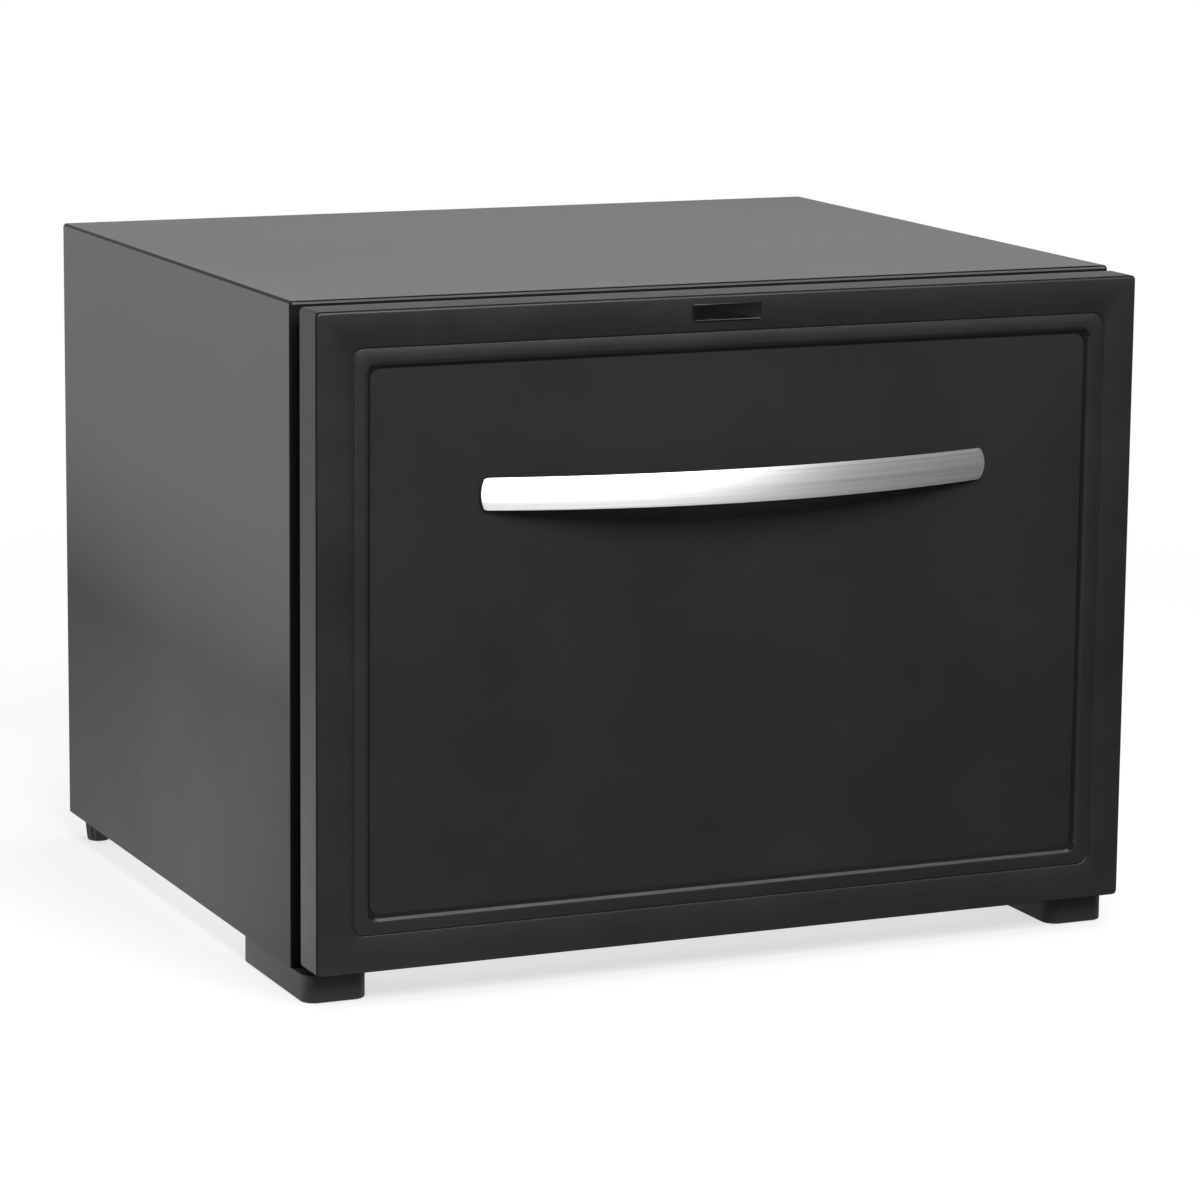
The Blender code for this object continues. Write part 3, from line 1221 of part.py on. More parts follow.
def absorber_vessel():
    ends = at_bay(VESSEL_LEFT, VESSEL_HEIGHT), at_bay(VESSEL_RIGHT, VESSEL_HEIGHT)
    return bevel(rod("absorber_vessel", *ends, VESSEL_RADIUS, BLACK_TUBE, 20), VESSEL_DOME, 2)


def liquid_tube():
    """The rich liquid's way from the vessel's end up into the boiler."""
    x = JACKET_X - LIQUID_TUBE_INSET
    corners = [
        at_bay(VESSEL_RIGHT + CLEARANCE, VESSEL_HEIGHT),
        at_bay(x, VESSEL_HEIGHT),
        at_bay(x, JACKET_LOW - CLEARANCE),
    ]
    return pipe("liquid_tube", bent(corners, TIGHT_BEND), LIQUID_TUBE_RADIUS, BLACK_TUBE, 1)


def coil_top():
    return COIL_LOW + COIL_PITCH * (COIL_RUNS - 1)


def absorber_coil():
    """A serpentine that climbs from the vessel, one run above another."""
    seat = VESSEL_HEIGHT + VESSEL_RADIUS + CLEARANCE
    corners = [at_bay(COIL_LEFT, seat)]
    for run in range(COIL_RUNS):
        ends = (COIL_LEFT, COIL_RIGHT) if run % 2 == 0 else (COIL_RIGHT, COIL_LEFT)
        corners += [at_bay(end, COIL_LOW + COIL_PITCH * run) for end in ends]
    corners.append(at_bay(COIL_LEFT, coil_top() + COIL_PITCH / 2 + COIL_RADIUS))
    return pipe("absorber_coil", bent(corners, COIL_PITCH * 0.49), COIL_RADIUS, BLACK_TUBE)


def condenser_end(left):
    x = CONDENSER_LEFT if left else CONDENSER_RIGHT
    middle = (CONDENSER_LEFT + CONDENSER_RIGHT) / 2
    reach = (x - middle) * math.cos(CONDENSER_SLOPE)
    return middle + reach, CONDENSER_HEIGHT + (-CONDENSER_RISE if left else CONDENSER_RISE)


def condenser():
    """A tube with pressed-on fins, tilted so that the condensate runs to the evaporator."""
    half = CONDENSER_LENGTH / 2
    tube = rod("condenser", (-half, 0, 0), (half, 0, 0), CONDENSER_RADIUS, CAST_ALUMINIUM, 8)
    tall, deep = CONDENSER_FIN_HEIGHT / 2, CONDENSER_FIN_DEPTH / 2
    fins = []
    for i in range(CONDENSER_FINS):
        x = (i - (CONDENSER_FINS - 1) / 2) * CONDENSER_FIN_PITCH
        fins.append(((x - CONDENSER_FIN / 2, -deep, -tall), (x + CONDENSER_FIN / 2, deep, tall)))
    fin_pack = blocks("condenser_fins", fins)
    join(tube, fin_pack)
    for obj in (tube, fin_pack):
        obj.location = at_bay((CONDENSER_LEFT + CONDENSER_RIGHT) / 2, CONDENSER_HEIGHT)
        obj.rotation_euler = (0.0, -CONDENSER_SLOPE, 0.0)
    return tube


def riser_tube():
    x, height = condenser_end(left=False)
    corners = [
        at_bay(JACKET_X, JACKET_HIGH + CLEARANCE),
        at_bay(JACKET_X, height),
        at_bay(x + 2 * CLEARANCE, height),
    ]
    return pipe("riser_tube", bent(corners, BEND), RISER_RADIUS, BLACK_TUBE, 1)


def evaporator_tube():
    x, height = condenser_end(left=True)
    through = EVAPORATOR_MIDDLE
    out = BULKHEAD_BACK + EVAPORATOR_TUBE_OUT
    left = EVAPORATOR_TUBE_LEFT
    level = CABINET_BOTTOM + height
    corners = [
        (EVAPORATOR_TUBE_X, CAVITY_BACK + LINER + CLEARANCE, through),
        (EVAPORATOR_TUBE_X, out, through),
        (left, out, through),
        (left, out, level),
        (left, BAY_MIDDLE, level),
        (x - 2 * CLEARANCE, BAY_MIDDLE, level),
    ]
    return pipe("evaporator_tube", bent(corners, BEND * 0.8), EVAPORATOR_TUBE_RADIUS, BLACK_TUBE)


def gas_exchanger():
    """The return from the evaporator, down to the top of the absorber coil."""
    through = EVAPORATOR_MIDDLE
    behind = EXCHANGER_BEHIND
    end = coil_top() + COIL_PITCH / 2 + COIL_RADIUS + CLEARANCE
    corners = [
        (EXCHANGER_X, CAVITY_BACK + LINER + CLEARANCE, through),
        (EXCHANGER_X, BAY_MIDDLE + behind, through),
        (COIL_LEFT, BAY_MIDDLE + behind, through),
        (COIL_LEFT, BAY_MIDDLE, CABINET_BOTTOM + end + 2 * EXCHANGER_RADIUS),
        at_bay(COIL_LEFT, end),
    ]
    return pipe("gas_exchanger", bent(corners, BEND * 0.8), EXCHANGER_RADIUS, BLACK_TUBE)


def unit_brackets():
    """Saddles that carry the boiler jacket and the absorber vessel on the bulkhead."""
    wide, tall = BRACKET_WIDTH / 2, BRACKET_HEIGHT / 2
    z = CABINET_BOTTOM + (JACKET_LOW + JACKET_HIGH) / 2
    low = (JACKET_X - wide, CONTROL_FACE, z - tall)
    boiler = block("boiler_bracket", low, (JACKET_X + wide, BAY_MIDDLE, z + tall), ZINC)
    ends = at_bay(JACKET_X, JACKET_LOW), at_bay(JACKET_X, JACKET_HIGH)
    cut(boiler, rod("boiler_saddle", *ends, JACKET_RADIUS + CLEARANCE, None, 24))
    z = CABINET_BOTTOM + VESSEL_HEIGHT
    low = (VESSEL_X - wide, CONTROL_FACE, z - tall)
    vessel = block("vessel_bracket", low, (VESSEL_X + wide, BAY_MIDDLE, z + tall), ZINC)
    ends = at_bay(VESSEL_X - 2 * wide, VESSEL_HEIGHT), at_bay(VESSEL_X + 2 * wide, VESSEL_HEIGHT)
    cut(vessel, rod("vessel_saddle", *ends, VESSEL_RADIUS + CLEARANCE, None, 20))


# Control box


def inlet_middle():
    return CONTROL_X, CABINET_BOTTOM + CONTROL_LOW + CONTROL_HEIGHT / 2


def inlet_block(name, width, height, front, back, material, margin=0.0):
    x, z = inlet_middle()
    size = width + 2 * margin, height + 2 * margin
    faces = [section("Y", level, *size, INLET_CORNER, (x, z), steps=1) for level in (front, back)]
    return loft(name, faces, material)


def control_faces(front, back):
    x, z = inlet_middle()
    half, tall = CONTROL_WIDTH / 2, CONTROL_HEIGHT / 2
    return (x - half, front, z - tall), (x + half, back, z + tall)


def control_box():
    back = CONTROL_FACE + CONTROL_DEPTH
    housing = block("control_box", *control_faces(CONTROL_FACE, back), BLACK_PLASTIC)
    ends = back - INLET_DEPTH + COVER_THICKNESS, back + OVERCUT
    return cut(housing, inlet_block("box_pocket", INLET_WIDTH, INLET_HEIGHT, *ends, None, CLEARANCE))


def control_cover():
    front = CONTROL_FACE + CONTROL_DEPTH + CLEARANCE
    back = front + COVER_THICKNESS
    cover = block("control_cover", *control_faces(front, back), BLACK_PLASTIC, COVER_EDGE, 1)
    ends = front - OVERCUT, back + OVERCUT
    return cut(cover, inlet_block("cover_hole", INLET_WIDTH, INLET_HEIGHT, *ends, None, CLEARANCE))


def power_inlet():
    """Appliance inlet: a flanged body with a socket for a mains connector."""
    face = CONTROL_FACE + CONTROL_DEPTH + CLEARANCE + COVER_THICKNESS + CLEARANCE
    front = face - INLET_DEPTH + 2 * CLEARANCE
    back = face + INLET_FLANGE
    inlet = inlet_block("power_inlet", INLET_WIDTH, INLET_HEIGHT, front, back, BLACK_PLASTIC)
    flange = inlet_block("inlet_flange", INLET_WIDTH, INLET_HEIGHT, face, back, None, INLET_FLANGE_MARGIN)
    ends = back - SOCKET_DEPTH, back + OVERCUT
    socket = inlet_block("inlet_socket", SOCKET_WIDTH, SOCKET_HEIGHT, *ends, None)
    return cut(join(inlet, flange), socket)


def build_cabinet():
    outer_wrap()
    front_sill()
    base_tray()
    inner_liner()
    insulation()
    bulkhead()
    evaporator_fins()
    evaporator_plug()
    light_housing()
    light_lens()
    thermostat_knob()
    for side, sign in sides():
        front_foot(side, sign)
        rear_foot(side, sign)
        foot_nut(side, sign)


def build_cooling_unit():
    boiler_jacket()
    heater_cartridge()
    heater_lead()
    absorber_vessel()
    liquid_tube()
    absorber_coil()
    condenser()
    riser_tube()
    evaporator_tube()
    gas_exchanger()
    unit_brackets()
    control_box()
    control_cover()
    power_inlet()


def build_drawer():
    front_frame()
    decor_panel()
    front_foam()
    front_liner()
    gasket()
    badge_plate()
    handle_band()
    bin_tub()
    for name, x in zip(("divider_left", "divider_right"), divider_places()):
        divider(name, x)
    rear_crossbar()
    for side, sign in sides():
        handle_foot(side, sign)
        handle_screw(side, sign)
        side_frame(side, sign)
        runner_members(side, sign)
        ball_cages(side, sign)


build_cabinet()
build_cooling_unit()
build_drawer()
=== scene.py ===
import math

import bmesh
import bpy
from mathutils import Matrix, Vector


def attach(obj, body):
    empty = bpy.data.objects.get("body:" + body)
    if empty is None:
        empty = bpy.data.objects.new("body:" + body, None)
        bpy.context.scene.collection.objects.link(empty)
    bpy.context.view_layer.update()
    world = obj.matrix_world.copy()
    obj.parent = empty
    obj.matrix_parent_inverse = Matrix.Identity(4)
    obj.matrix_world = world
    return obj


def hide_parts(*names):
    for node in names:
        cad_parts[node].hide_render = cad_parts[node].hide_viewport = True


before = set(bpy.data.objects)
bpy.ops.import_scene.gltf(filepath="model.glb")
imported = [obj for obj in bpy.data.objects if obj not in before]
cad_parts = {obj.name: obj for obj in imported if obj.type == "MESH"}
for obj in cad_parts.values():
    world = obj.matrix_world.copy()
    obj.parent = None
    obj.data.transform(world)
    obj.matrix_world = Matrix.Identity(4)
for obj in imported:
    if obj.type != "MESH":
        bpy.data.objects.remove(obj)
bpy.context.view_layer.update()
print("frame loaded")

mm = 0.001
weldGap = 0.002 * mm  # points closer than this become one


# Node helpers


def workOn(newTree):
    global tree
    tree = newTree
    return tree


def setInputs(node, inputs):
    for key, value in inputs.items():
        if isinstance(value, bpy.types.NodeSocket):
            tree.links.new(value, node.inputs[key])
        else:
            node.inputs[key].default_value = value


def addNode(kind, inputs=(), out=0, **settings):
    node = tree.nodes.new(kind)
    for key, value in settings.items():
        setattr(node, key, value)
    setInputs(node, dict(inputs))
    return node.outputs[out] if node.outputs else node


def objectCoords(scale=(1, 1, 1)):
    where = addNode("ShaderNodeTexCoord", out="Object")
    return addNode("ShaderNodeMapping", {"Vector": where, "Scale": scale})


def noise(vector, scale, detail=3.0, roughness=0.55):
    values = {"Vector": vector, "Scale": scale, "Detail": detail, "Roughness": roughness}
    return addNode("ShaderNodeTexNoise", values, "Fac")


def remap(value, low, high, fromLow=0.0, fromHigh=1.0, **settings):
    values = {"Value": value, "From Min": fromLow, "From Max": fromHigh, "To Min": low, "To Max": high}
    return addNode("ShaderNodeMapRange", values, **settings)


def rampUp(value, low, high):
    return remap(value, 0.0, 1.0, low, high, interpolation_type="SMOOTHSTEP")


def mixColour(factor, one, other):
    return addNode("ShaderNodeMix", {0: factor, 6: one, 7: other}, 2, data_type="RGBA")


def mixValue(factor, one, other):
    return addNode("ShaderNodeMix", {0: factor, 2: one, 3: other}, data_type="FLOAT")


def maths(operation, one, other):
    return addNode("ShaderNodeMath", {0: one, 1: other}, operation=operation)


def vectorMaths(operation, one, other=(0, 0, 0), out="Vector"):
    return addNode("ShaderNodeVectorMath", {0: one, 1: other}, out, operation=operation)


def part(vector, axis):
    return addNode("ShaderNodeSeparateXYZ", {0: vector}, axis)


def geometry(out):
    return addNode("ShaderNodeNewGeometry", out=out)


def bump(height, distance, under=None):
    values = {"Height": height, "Distance": distance, "Strength": 1.0}
    if under:
        values["Normal"] = under
    return addNode("ShaderNodeBump", values)


def newMaterial(name):
    material = bpy.data.materials.new(name)
    material.use_nodes = True
    workOn(material.node_tree)
    return material


def shade(material, colour, roughness, normal, more=()):
    values = {"Base Color": colour, "Roughness": roughness, "Normal": normal, **dict(more)}
    setInputs(tree.nodes["Principled BSDF"], values)
    return material


noiseRange = 0.3, 0.7  # where most of a noise lies
productRange = 0.1, 0.45  # where most of the product of two lies


def grey(level):
    return level, level, level * 1.01, 1


# lighter rounded edges in patches: partly wear, partly painted highlight
def edgeWearAndHighlight(radius, patches):
    rounded = addNode("ShaderNodeBevel", {"Radius": radius}, samples=4)
    facing = vectorMaths("DOT_PRODUCT", rounded, geometry("True Normal"), "Value")
    return maths("MULTIPLY", remap(facing, 1.0, 0.0, 0.75, 0.98), patches)


def paintedBendShade(start=0.9, end=0.98):  # mask for painted shade on bends: 1 where a face turns away from all three axes
    way = vectorMaths("ABSOLUTE", geometry("Normal"))
    x, y, z = (part(way, axis) for axis in "XYZ")
    return remap(maths("MAXIMUM", maths("MAXIMUM", x, y), z), 1.0, 0.0, start, end)


def paint(name, dark, light, roughness, grainSize, grainHeight, specular=0.5, metallic=0.0, cloud=6.0,
          wearAndHighlight=0.0, ripple=0.0, bendShadeGrey=None):
    material = newMaterial(name)
    where = objectCoords()
    clouds = noise(where, cloud, 4)
    grain = noise(where, 1 / grainSize, 2)
    waves = noise(where, 0.14 / grainSize, 3)
    mixed = remap(maths("MULTIPLY", clouds, grain), 0, 1, *productRange)
    colour = mixColour(mixed, grey(dark), grey(light))
    # partly wear, partly painted highlight on the rounded edges
    if wearAndHighlight:
        wornAndLitEdge = edgeWearAndHighlight(0.8 * mm, remap(waves, 0.0, wearAndHighlight, 0.42, 0.62))
        colour = mixColour(wornAndLitEdge, colour, [min(1, 2.2 * level + 0.03) for level in grey(light)])
    # painted shade: a dark line along the bends
    if bendShadeGrey:
        colour = mixColour(paintedBendShade(), colour, grey(bendShadeGrey))
    gloss = maths("ADD", remap(clouds, 0, 0.7, *noiseRange), remap(waves, 0, 0.3, *noiseRange))
    normal = bump(grain, grainHeight)
    if ripple:
        normal = bump(waves, ripple, normal)
    more = {"Metallic": metallic, "Specular IOR Level": specular}
    return shade(material, colour, remap(gloss, *roughness), normal, more)


# grey from and to, roughness from and to, size and height of the grain
charcoalPaint = paint("charcoalPaint", 0.106, 0.132, (0.54, 0.62), 0.0006, 0.00004, specular=0.3,
                      ripple=0.00003, bendShadeGrey=0.012)
# painted shade: a near-black, dull plastic laid where the gap behind the drawer front, the bevel's foot and
# the bends lie in shade
edgePlastic = paint("edgePlastic", 0.006, 0.009, (0.75, 0.85), 0.0009, 0.00004, specular=0.1)
framePlastic = paint("framePlastic", 0.01, 0.015, (0.42, 0.52), 0.0009, 0.00004, specular=0.38, cloud=20,
                     wearAndHighlight=0.3, ripple=0.00008)
# painted light: a lighter copy of framePlastic for the frame's outer sides, top and bottom, where more light
# falls
frameSides = paint("frameSides", 0.034, 0.044, (0.42, 0.52), 0.0009, 0.00004, specular=0.28, cloud=20,
                   ripple=0.00008)
panelSheet = paint("panelSheet", 0.009, 0.013, (0.5, 0.58), 0.001, 0.00006, specular=0.34, cloud=12,
                   ripple=0.00004)
blackPlastic = paint("blackPlastic", 0.018, 0.026, (0.5, 0.6), 0.001, 0.00004, specular=0.32, wearAndHighlight=0.4)
rubber = paint("rubber", 0.007, 0.011, (0.7, 0.85), 0.0015, 0.00003, specular=0.2)
glossPlate = paint("glossPlate", 0.006, 0.008, (0.08, 0.12), 0.004, 0.000002, wearAndHighlight=0.5)
linerPlastic = paint("linerPlastic", 0.7, 0.78, (0.28, 0.38), 0.003, 0.00001, ripple=0.00003)
tubePaint = paint("tubePaint", 0.014, 0.022, (0.32, 0.5), 0.0015, 0.00003, cloud=30, ripple=0.00005)
binPlastic = paint("binPlastic", 0.5, 0.58, (0.3, 0.42), 0.0012, 0.00003, cloud=15, wearAndHighlight=0.2)
castAluminium = paint("castAluminium", 0.52, 0.68, (0.36, 0.52), 0.0012, 0.00003, metallic=0.95, cloud=25,
                      wearAndHighlight=0.4)


def galvanised(spangle=0.007, dark=0.41, light=0.55, smooth=0.3, dull=0.5, wornAndLitGrey=(0.72, 0.72, 0.73, 1)):
    material = newMaterial("zincSheet")
    where = objectCoords()
    warp = addNode("ShaderNodeTexNoise", {"Vector": where, "Scale": 130.0, "Detail": 2.0}, "Color")
    stirred = vectorMaths("ADD", where, vectorMaths("MULTIPLY", warp, (0.004, 0.004, 0.004)))
    cells = addNode("ShaderNodeTexVoronoi", {"Vector": stirred, "Scale": 1 / spangle}, "Color")
    level = part(cells, "X")
    colour = mixColour(mixValue(0.35, level, noise(where, 7, 4)), grey(dark), grey(light))
    # partly wear, partly painted highlight on the rounded edges
    colour = mixColour(edgeWearAndHighlight(0.6 * mm, noise(where, 60)), colour, wornAndLitGrey)
    rough = remap(level, smooth, dull)
    return shade(material, colour, rough, bump(level, 0.000015), {"Metallic": 0.9})


def drawnMetal(name, dark, light, roughness, scale, metallic=1.0, stains=0.3):
    material = newMaterial(name)
    lines = noise(objectCoords(scale), 1.0, 5, 0.65)
    dull = remap(noise(objectCoords(), 14, 5, 0.6), 0.0, stains, 0.45, 0.75)
    colour = mixColour(remap(lines, 0, 1, *noiseRange), grey(dark), grey(light))
    colour = mixColour(dull, colour, grey(dark * 0.72))
    rough = maths("ADD", remap(lines, *roughness, *noiseRange), dull)
    return shade(material, colour, rough, bump(lines, 0.000012), {"Metallic": metallic})


def cellFoam():
    material = newMaterial("foam")
    where = objectCoords()
    cells = addNode("ShaderNodeTexVoronoi", {"Vector": where, "Scale": 850.0}, "Distance")
    blotches = noise(where, 25, 5)
    mixed = remap(maths("MULTIPLY", cells, blotches), 0, 1, *productRange)
    colour = mixColour(mixed, (0.6, 0.46, 0.22, 1), (0.8, 0.68, 0.42, 1))
    return shade(material, colour, remap(blotches, 0.82, 0.95), bump(cells, 0.0004))


def clearMoulding():
    material = newMaterial("clearPlastic")
    where = objectCoords()
    values = {"Vector": where, "Scale": 55.0, "Distortion": 0.0}
    ribs = addNode("ShaderNodeTexWave", values, "Fac", bands_direction="X")
    rough = remap(noise(where, 60, 4), 0.06, 0.16, *noiseRange)
    more = {"Transmission Weight": 0.85, "IOR": 1.49}
    return shade(material, (0.86, 0.9, 0.92, 1), rough, bump(ribs, 0.0002), more)


def brushedAluminium():
    material = newMaterial("brushedAluminium")
    fine = noise(objectCoords((4, 0, 1500)), 1.0, 6, 0.7)
    broad = noise(objectCoords((1.2, 0, 330)), 1.0, 2)
    streaks = mixValue(0.4, fine, broad)
    colour = mixColour(remap(streaks, 0, 1, 0.36, 0.6), grey(0.66), grey(0.9))
    along = vectorMaths("CROSS_PRODUCT", geometry("Normal"), (0, 0, 1))  # the grain follows the bow
    more = {"Tangent": along, "Metallic": 1.0, "Anisotropic": 0.8, "Anisotropic Rotation": 0.25}
    return shade(material, colour, remap(streaks, 0.46, 0.6, *noiseRange), bump(streaks, 0.00003), more)


zincSheet = galvanised()
runnerSteel = drawnMetal("runnerSteel", 0.46, 0.6, (0.22, 0.34), (700, 9, 700))
jacketSheet = drawnMetal("jacketSheet", 0.5, 0.62, (0.28, 0.42), (30, 30, 420), 0.95, 0.4)
foam = cellFoam()
clearPlastic = clearMoulding()
handleMetal = brushedAluminium()

finishes = {
    panelSheet: ["decor_panel"],
    zincSheet: ["bulkhead"],
    foam: ["insulation", "evaporator_plug", "front_foam"],
    castAluminium: ["handle_foot_left", "handle_foot_right"],
    runnerSteel: ["handle_screw_left", "handle_screw_right"],
}
for material, names in finishes.items():
    for name in names:
        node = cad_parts[name]
        node.data.materials.clear()
        node.data.materials.append(material)
print("finishes on the frame")


# Mesh helpers


def linked(name, data):
    obj = bpy.data.objects.new(name, data)
    bpy.context.scene.collection.objects.link(obj)
    return obj


def shadeBy(mesh, angle):
    mesh.shade_smooth()
    mesh.set_sharp_from_angle(angle=math.radians(angle))


def meshPiece(name, bm, sharpAngle=32):
    bmesh.ops.remove_doubles(bm, verts=bm.verts, dist=weldGap)
    bmesh.ops.recalc_face_normals(bm, faces=bm.faces)
    mesh = bpy.data.meshes.new(name)
    bm.to_mesh(mesh)
    bm.free()
    shadeBy(mesh, sharpAngle)
    return linked(name, mesh)


def skin(bm, rows, closeRows=False, closeEnds=False, caps=False):
    made = [[bm.verts.new(point) for point in row] for row in rows]
    count = len(made[0])
    for one, other in list(zip(made, made[1:])) + ([(made[-1], made[0])] if closeEnds else []):
        for i in range(count if closeRows else count - 1):
            j = (i + 1) % count
            bm.faces.new((one[i], one[j], other[j], other[i]))
    if caps:
        bm.faces.new(made[0])
        bm.faces.new(made[-1])


def solidSkin(name, rows, ring=False, sharpAngle=32):
    bm = bmesh.new()
    skin(bm, rows, closeRows=True, closeEnds=ring, caps=not ring)
    return meshPiece(name, bm, sharpAngle)


def apply(piece):
    mesh = bpy.data.meshes.new_from_object(piece.evaluated_get(bpy.context.evaluated_depsgraph_get()))
    piece.modifiers.clear()
    old, piece.data = piece.data, mesh
    bpy.data.meshes.remove(old)
    mesh.name = piece.name
    return piece


def modified(piece, kind, **settings):
    modifier = piece.modifiers.new(kind.lower(), kind)
    for key, value in settings.items():
        setattr(modifier, key, value)
    return apply(piece)


def thicken(piece, thickness, offset=-1.0):
    return modified(piece, "SOLIDIFY", thickness=thickness, offset=offset, use_even_offset=True)


def softenEdges(piece, width, segments=3, angle=35):
    limit = {"limit_method": "ANGLE", "angle_limit": math.radians(angle)}
    return modified(piece, "BEVEL", width=width, segments=segments, **limit, harden_normals=True)


def cleaned(mesh):
    bm = bmesh.new()
    bm.from_mesh(mesh)
    bmesh.ops.remove_doubles(bm, verts=bm.verts, dist=weldGap)
    bmesh.ops.dissolve_degenerate(bm, edges=bm.edges, dist=weldGap)
    bm.to_mesh(mesh)
    bm.free()


def combine(piece, other, operation="UNION"):
    modified(piece, "BOOLEAN", operation=operation, solver="EXACT", object=other)
    bpy.data.objects.remove(other)
    cleaned(piece.data)
    if "custom_normal" in piece.data.attributes:
        piece.data.attributes.remove(piece.data.attributes["custom_normal"])
    shadeBy(piece.data, 32)
    return modified(piece, "WEIGHTED_NORMAL", keep_sharp=True)


def refined(name, node, soften, segments=2):
    bm = bmesh.new()
    bm.from_mesh(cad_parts[node].data)
    bmesh.ops.remove_doubles(bm, verts=bm.verts, dist=0.005 * mm)
    bmesh.ops.dissolve_limit(bm, angle_limit=math.radians(2), verts=bm.verts, edges=bm.edges)
    piece = softenEdges(meshPiece(name, bm, 30), soften, segments)
    cleaned(piece.data)
    return piece


def dress(piece, material, *replaced, body="cabinet"):
    piece.data.materials.clear()
    piece.data.materials.append(material)
    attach(piece, body)
    if replaced:
        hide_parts(*replaced)
    return piece


def repaint(piece, material, chosen):
    piece.data.materials.append(material)
    for polygon in piece.data.polygons:
        if chosen(*polygon.center, polygon.normal):
            polygon.material_index = len(piece.data.materials) - 1


def onBend(x, y, z, way, face, reach, half, low, high):
    outside = abs(x) > half - reach or z > high - reach or z < low + reach
    return outside and max(abs(level) for level in way) < 0.97 and face < y < face + reach


def quarter(steps=6):  # a quarter round, as shares that rise from 0 and fall to 0
    angles = [math.pi / 2 * step / steps for step in range(steps + 1)]
    return [(1 - math.cos(angle), 1 - math.sin(angle)) for angle in angles]


def roundedLoop(width, height, radius, steps=8, centre=(0.0, 0.0)):
    points = []
    for corner, (side, level) in enumerate(((1, 1), (-1, 1), (-1, -1), (1, -1))):
        middle = side * (width / 2 - radius), level * (height / 2 - radius)
        for step in range(steps + 1):
            angle = math.pi / 2 * (corner + step / steps)
            x = centre[0] + middle[0] + radius * math.cos(angle)
            points.append((x, centre[1] + middle[1] + radius * math.sin(angle)))
    return points


def upright(y, *shape):
    return [(x, y, z) for x, z in roundedLoop(*shape)]


def ringPoints(radius, steps, wave=0.0, waves=0):
    points = []
    for i in range(steps):
        angle = math.tau * i / steps
        reach = radius - wave * (0.5 - 0.5 * math.cos(waves * angle))
        points.append((reach * math.cos(angle), reach * math.sin(angle)))
    return points


def lathe(name, profile, place=(0, 0, 0), axis=(0, 0, 1), steps=32, sharpAngle=32, wave=0.0, waves=0):
    bm = bmesh.new()
    rings = [(ringPoints(radius, steps, wave, waves), height) for radius, height in profile]
    skin(bm, [[(x, y, height) for x, y in ring] for ring, height in rings], closeRows=True)
    turn = Vector(axis).to_track_quat("Z", "Y").to_matrix().to_4x4()
    bm.transform(Matrix.Translation(place) @ turn)
    return meshPiece(name, bm, sharpAngle)


def filletLine(points, radius, steps=5):
    points = [Vector(point) for point in points]
    line = [points[0]]
    for before, corner, after in zip(points, points[1:], points[2:]):
        towards, away = (before - corner).normalized(), (after - corner).normalized()
        half = towards.angle(away) / 2
        if half > 1.56:  # nearly straight
            line.append(corner)
            continue
        reach = radius / math.tan(half)
        centre = corner + (towards + away).normalized() * (radius / math.sin(half))
        first, last = corner + towards * reach - centre, corner + away * reach - centre
        turn = math.pi - 2 * half
        for step in range(steps + 1):
            share = step / steps
            weights = math.sin((1 - share) * turn), math.sin(share * turn)
            line.append(centre + (first * weights[0] + last * weights[1]) / math.sin(turn))
    return line + [points[-1]]


def foldedStrip(name, line, bend, start, end, thickness, soften=0.2 * mm):
    line = filletLine(line, bend)
    bm = bmesh.new()
    skin(bm, [[(u, level, v) for u, v in line] for level in (start, end)])
    return softenEdges(thicken(meshPiece(name, bm), thickness, 0.0), soften, 2, 60)


placers = dict(
    X=lambda u, v, level: (level, u, v), Y=lambda u, v, level: (u, level, v),
    Z=lambda u, v, level: (u, v, level),
)


def slab(name, outline, low, high, axis="Z", soften=0.0, segments=2):
    piece = solidSkin(name, [[placers[axis](u, v, level) for u, v in outline] for level in (low, high)])
    return softenEdges(piece, soften, segments) if soften else piece


# Node trees for what repeats or follows a path


def openTree(name, **inputs):
    workOn(bpy.data.node_groups.new(name, "GeometryNodeTree"))
    tree.is_modifier = True
    for label, kind in {"Geometry": "Geometry", **inputs, "Material": "Material"}.items():
        tree.interface.new_socket(label, in_out="INPUT", socket_type="NodeSocket" + kind)
    tree.interface.new_socket("Geometry", in_out="OUTPUT", socket_type="NodeSocketGeometry")
    return tree.nodes.new("NodeGroupInput").outputs


def closeTree(start, shape):
    real = addNode("GeometryNodeRealizeInstances", {0: shape})
    painted = addNode("GeometryNodeSetMaterial", {"Geometry": real, "Material": start["Material"]})
    addNode("NodeGroupOutput", {"Geometry": painted})
    return tree


def makeTubeTree():
    start = openTree("tubeAlongPath", Radius="Float", Bend="Float", Sides="Int")
    path = addNode("GeometryNodeMeshToCurve", {0: start["Geometry"]})
    values = {"Curve": path, "Radius": start["Bend"], "Count": 8, "Limit Radius": True}
    fillet = addNode("GeometryNodeFilletCurve", values, mode="POLY")
    values = {"Resolution": start["Sides"], "Radius": start["Radius"]}
    circle = addNode("GeometryNodeCurvePrimitiveCircle", values)
    values = {"Curve": fillet, "Profile Curve": circle, "Fill Caps": True}
    return closeTree(start, addNode("GeometryNodeCurveToMesh", values))


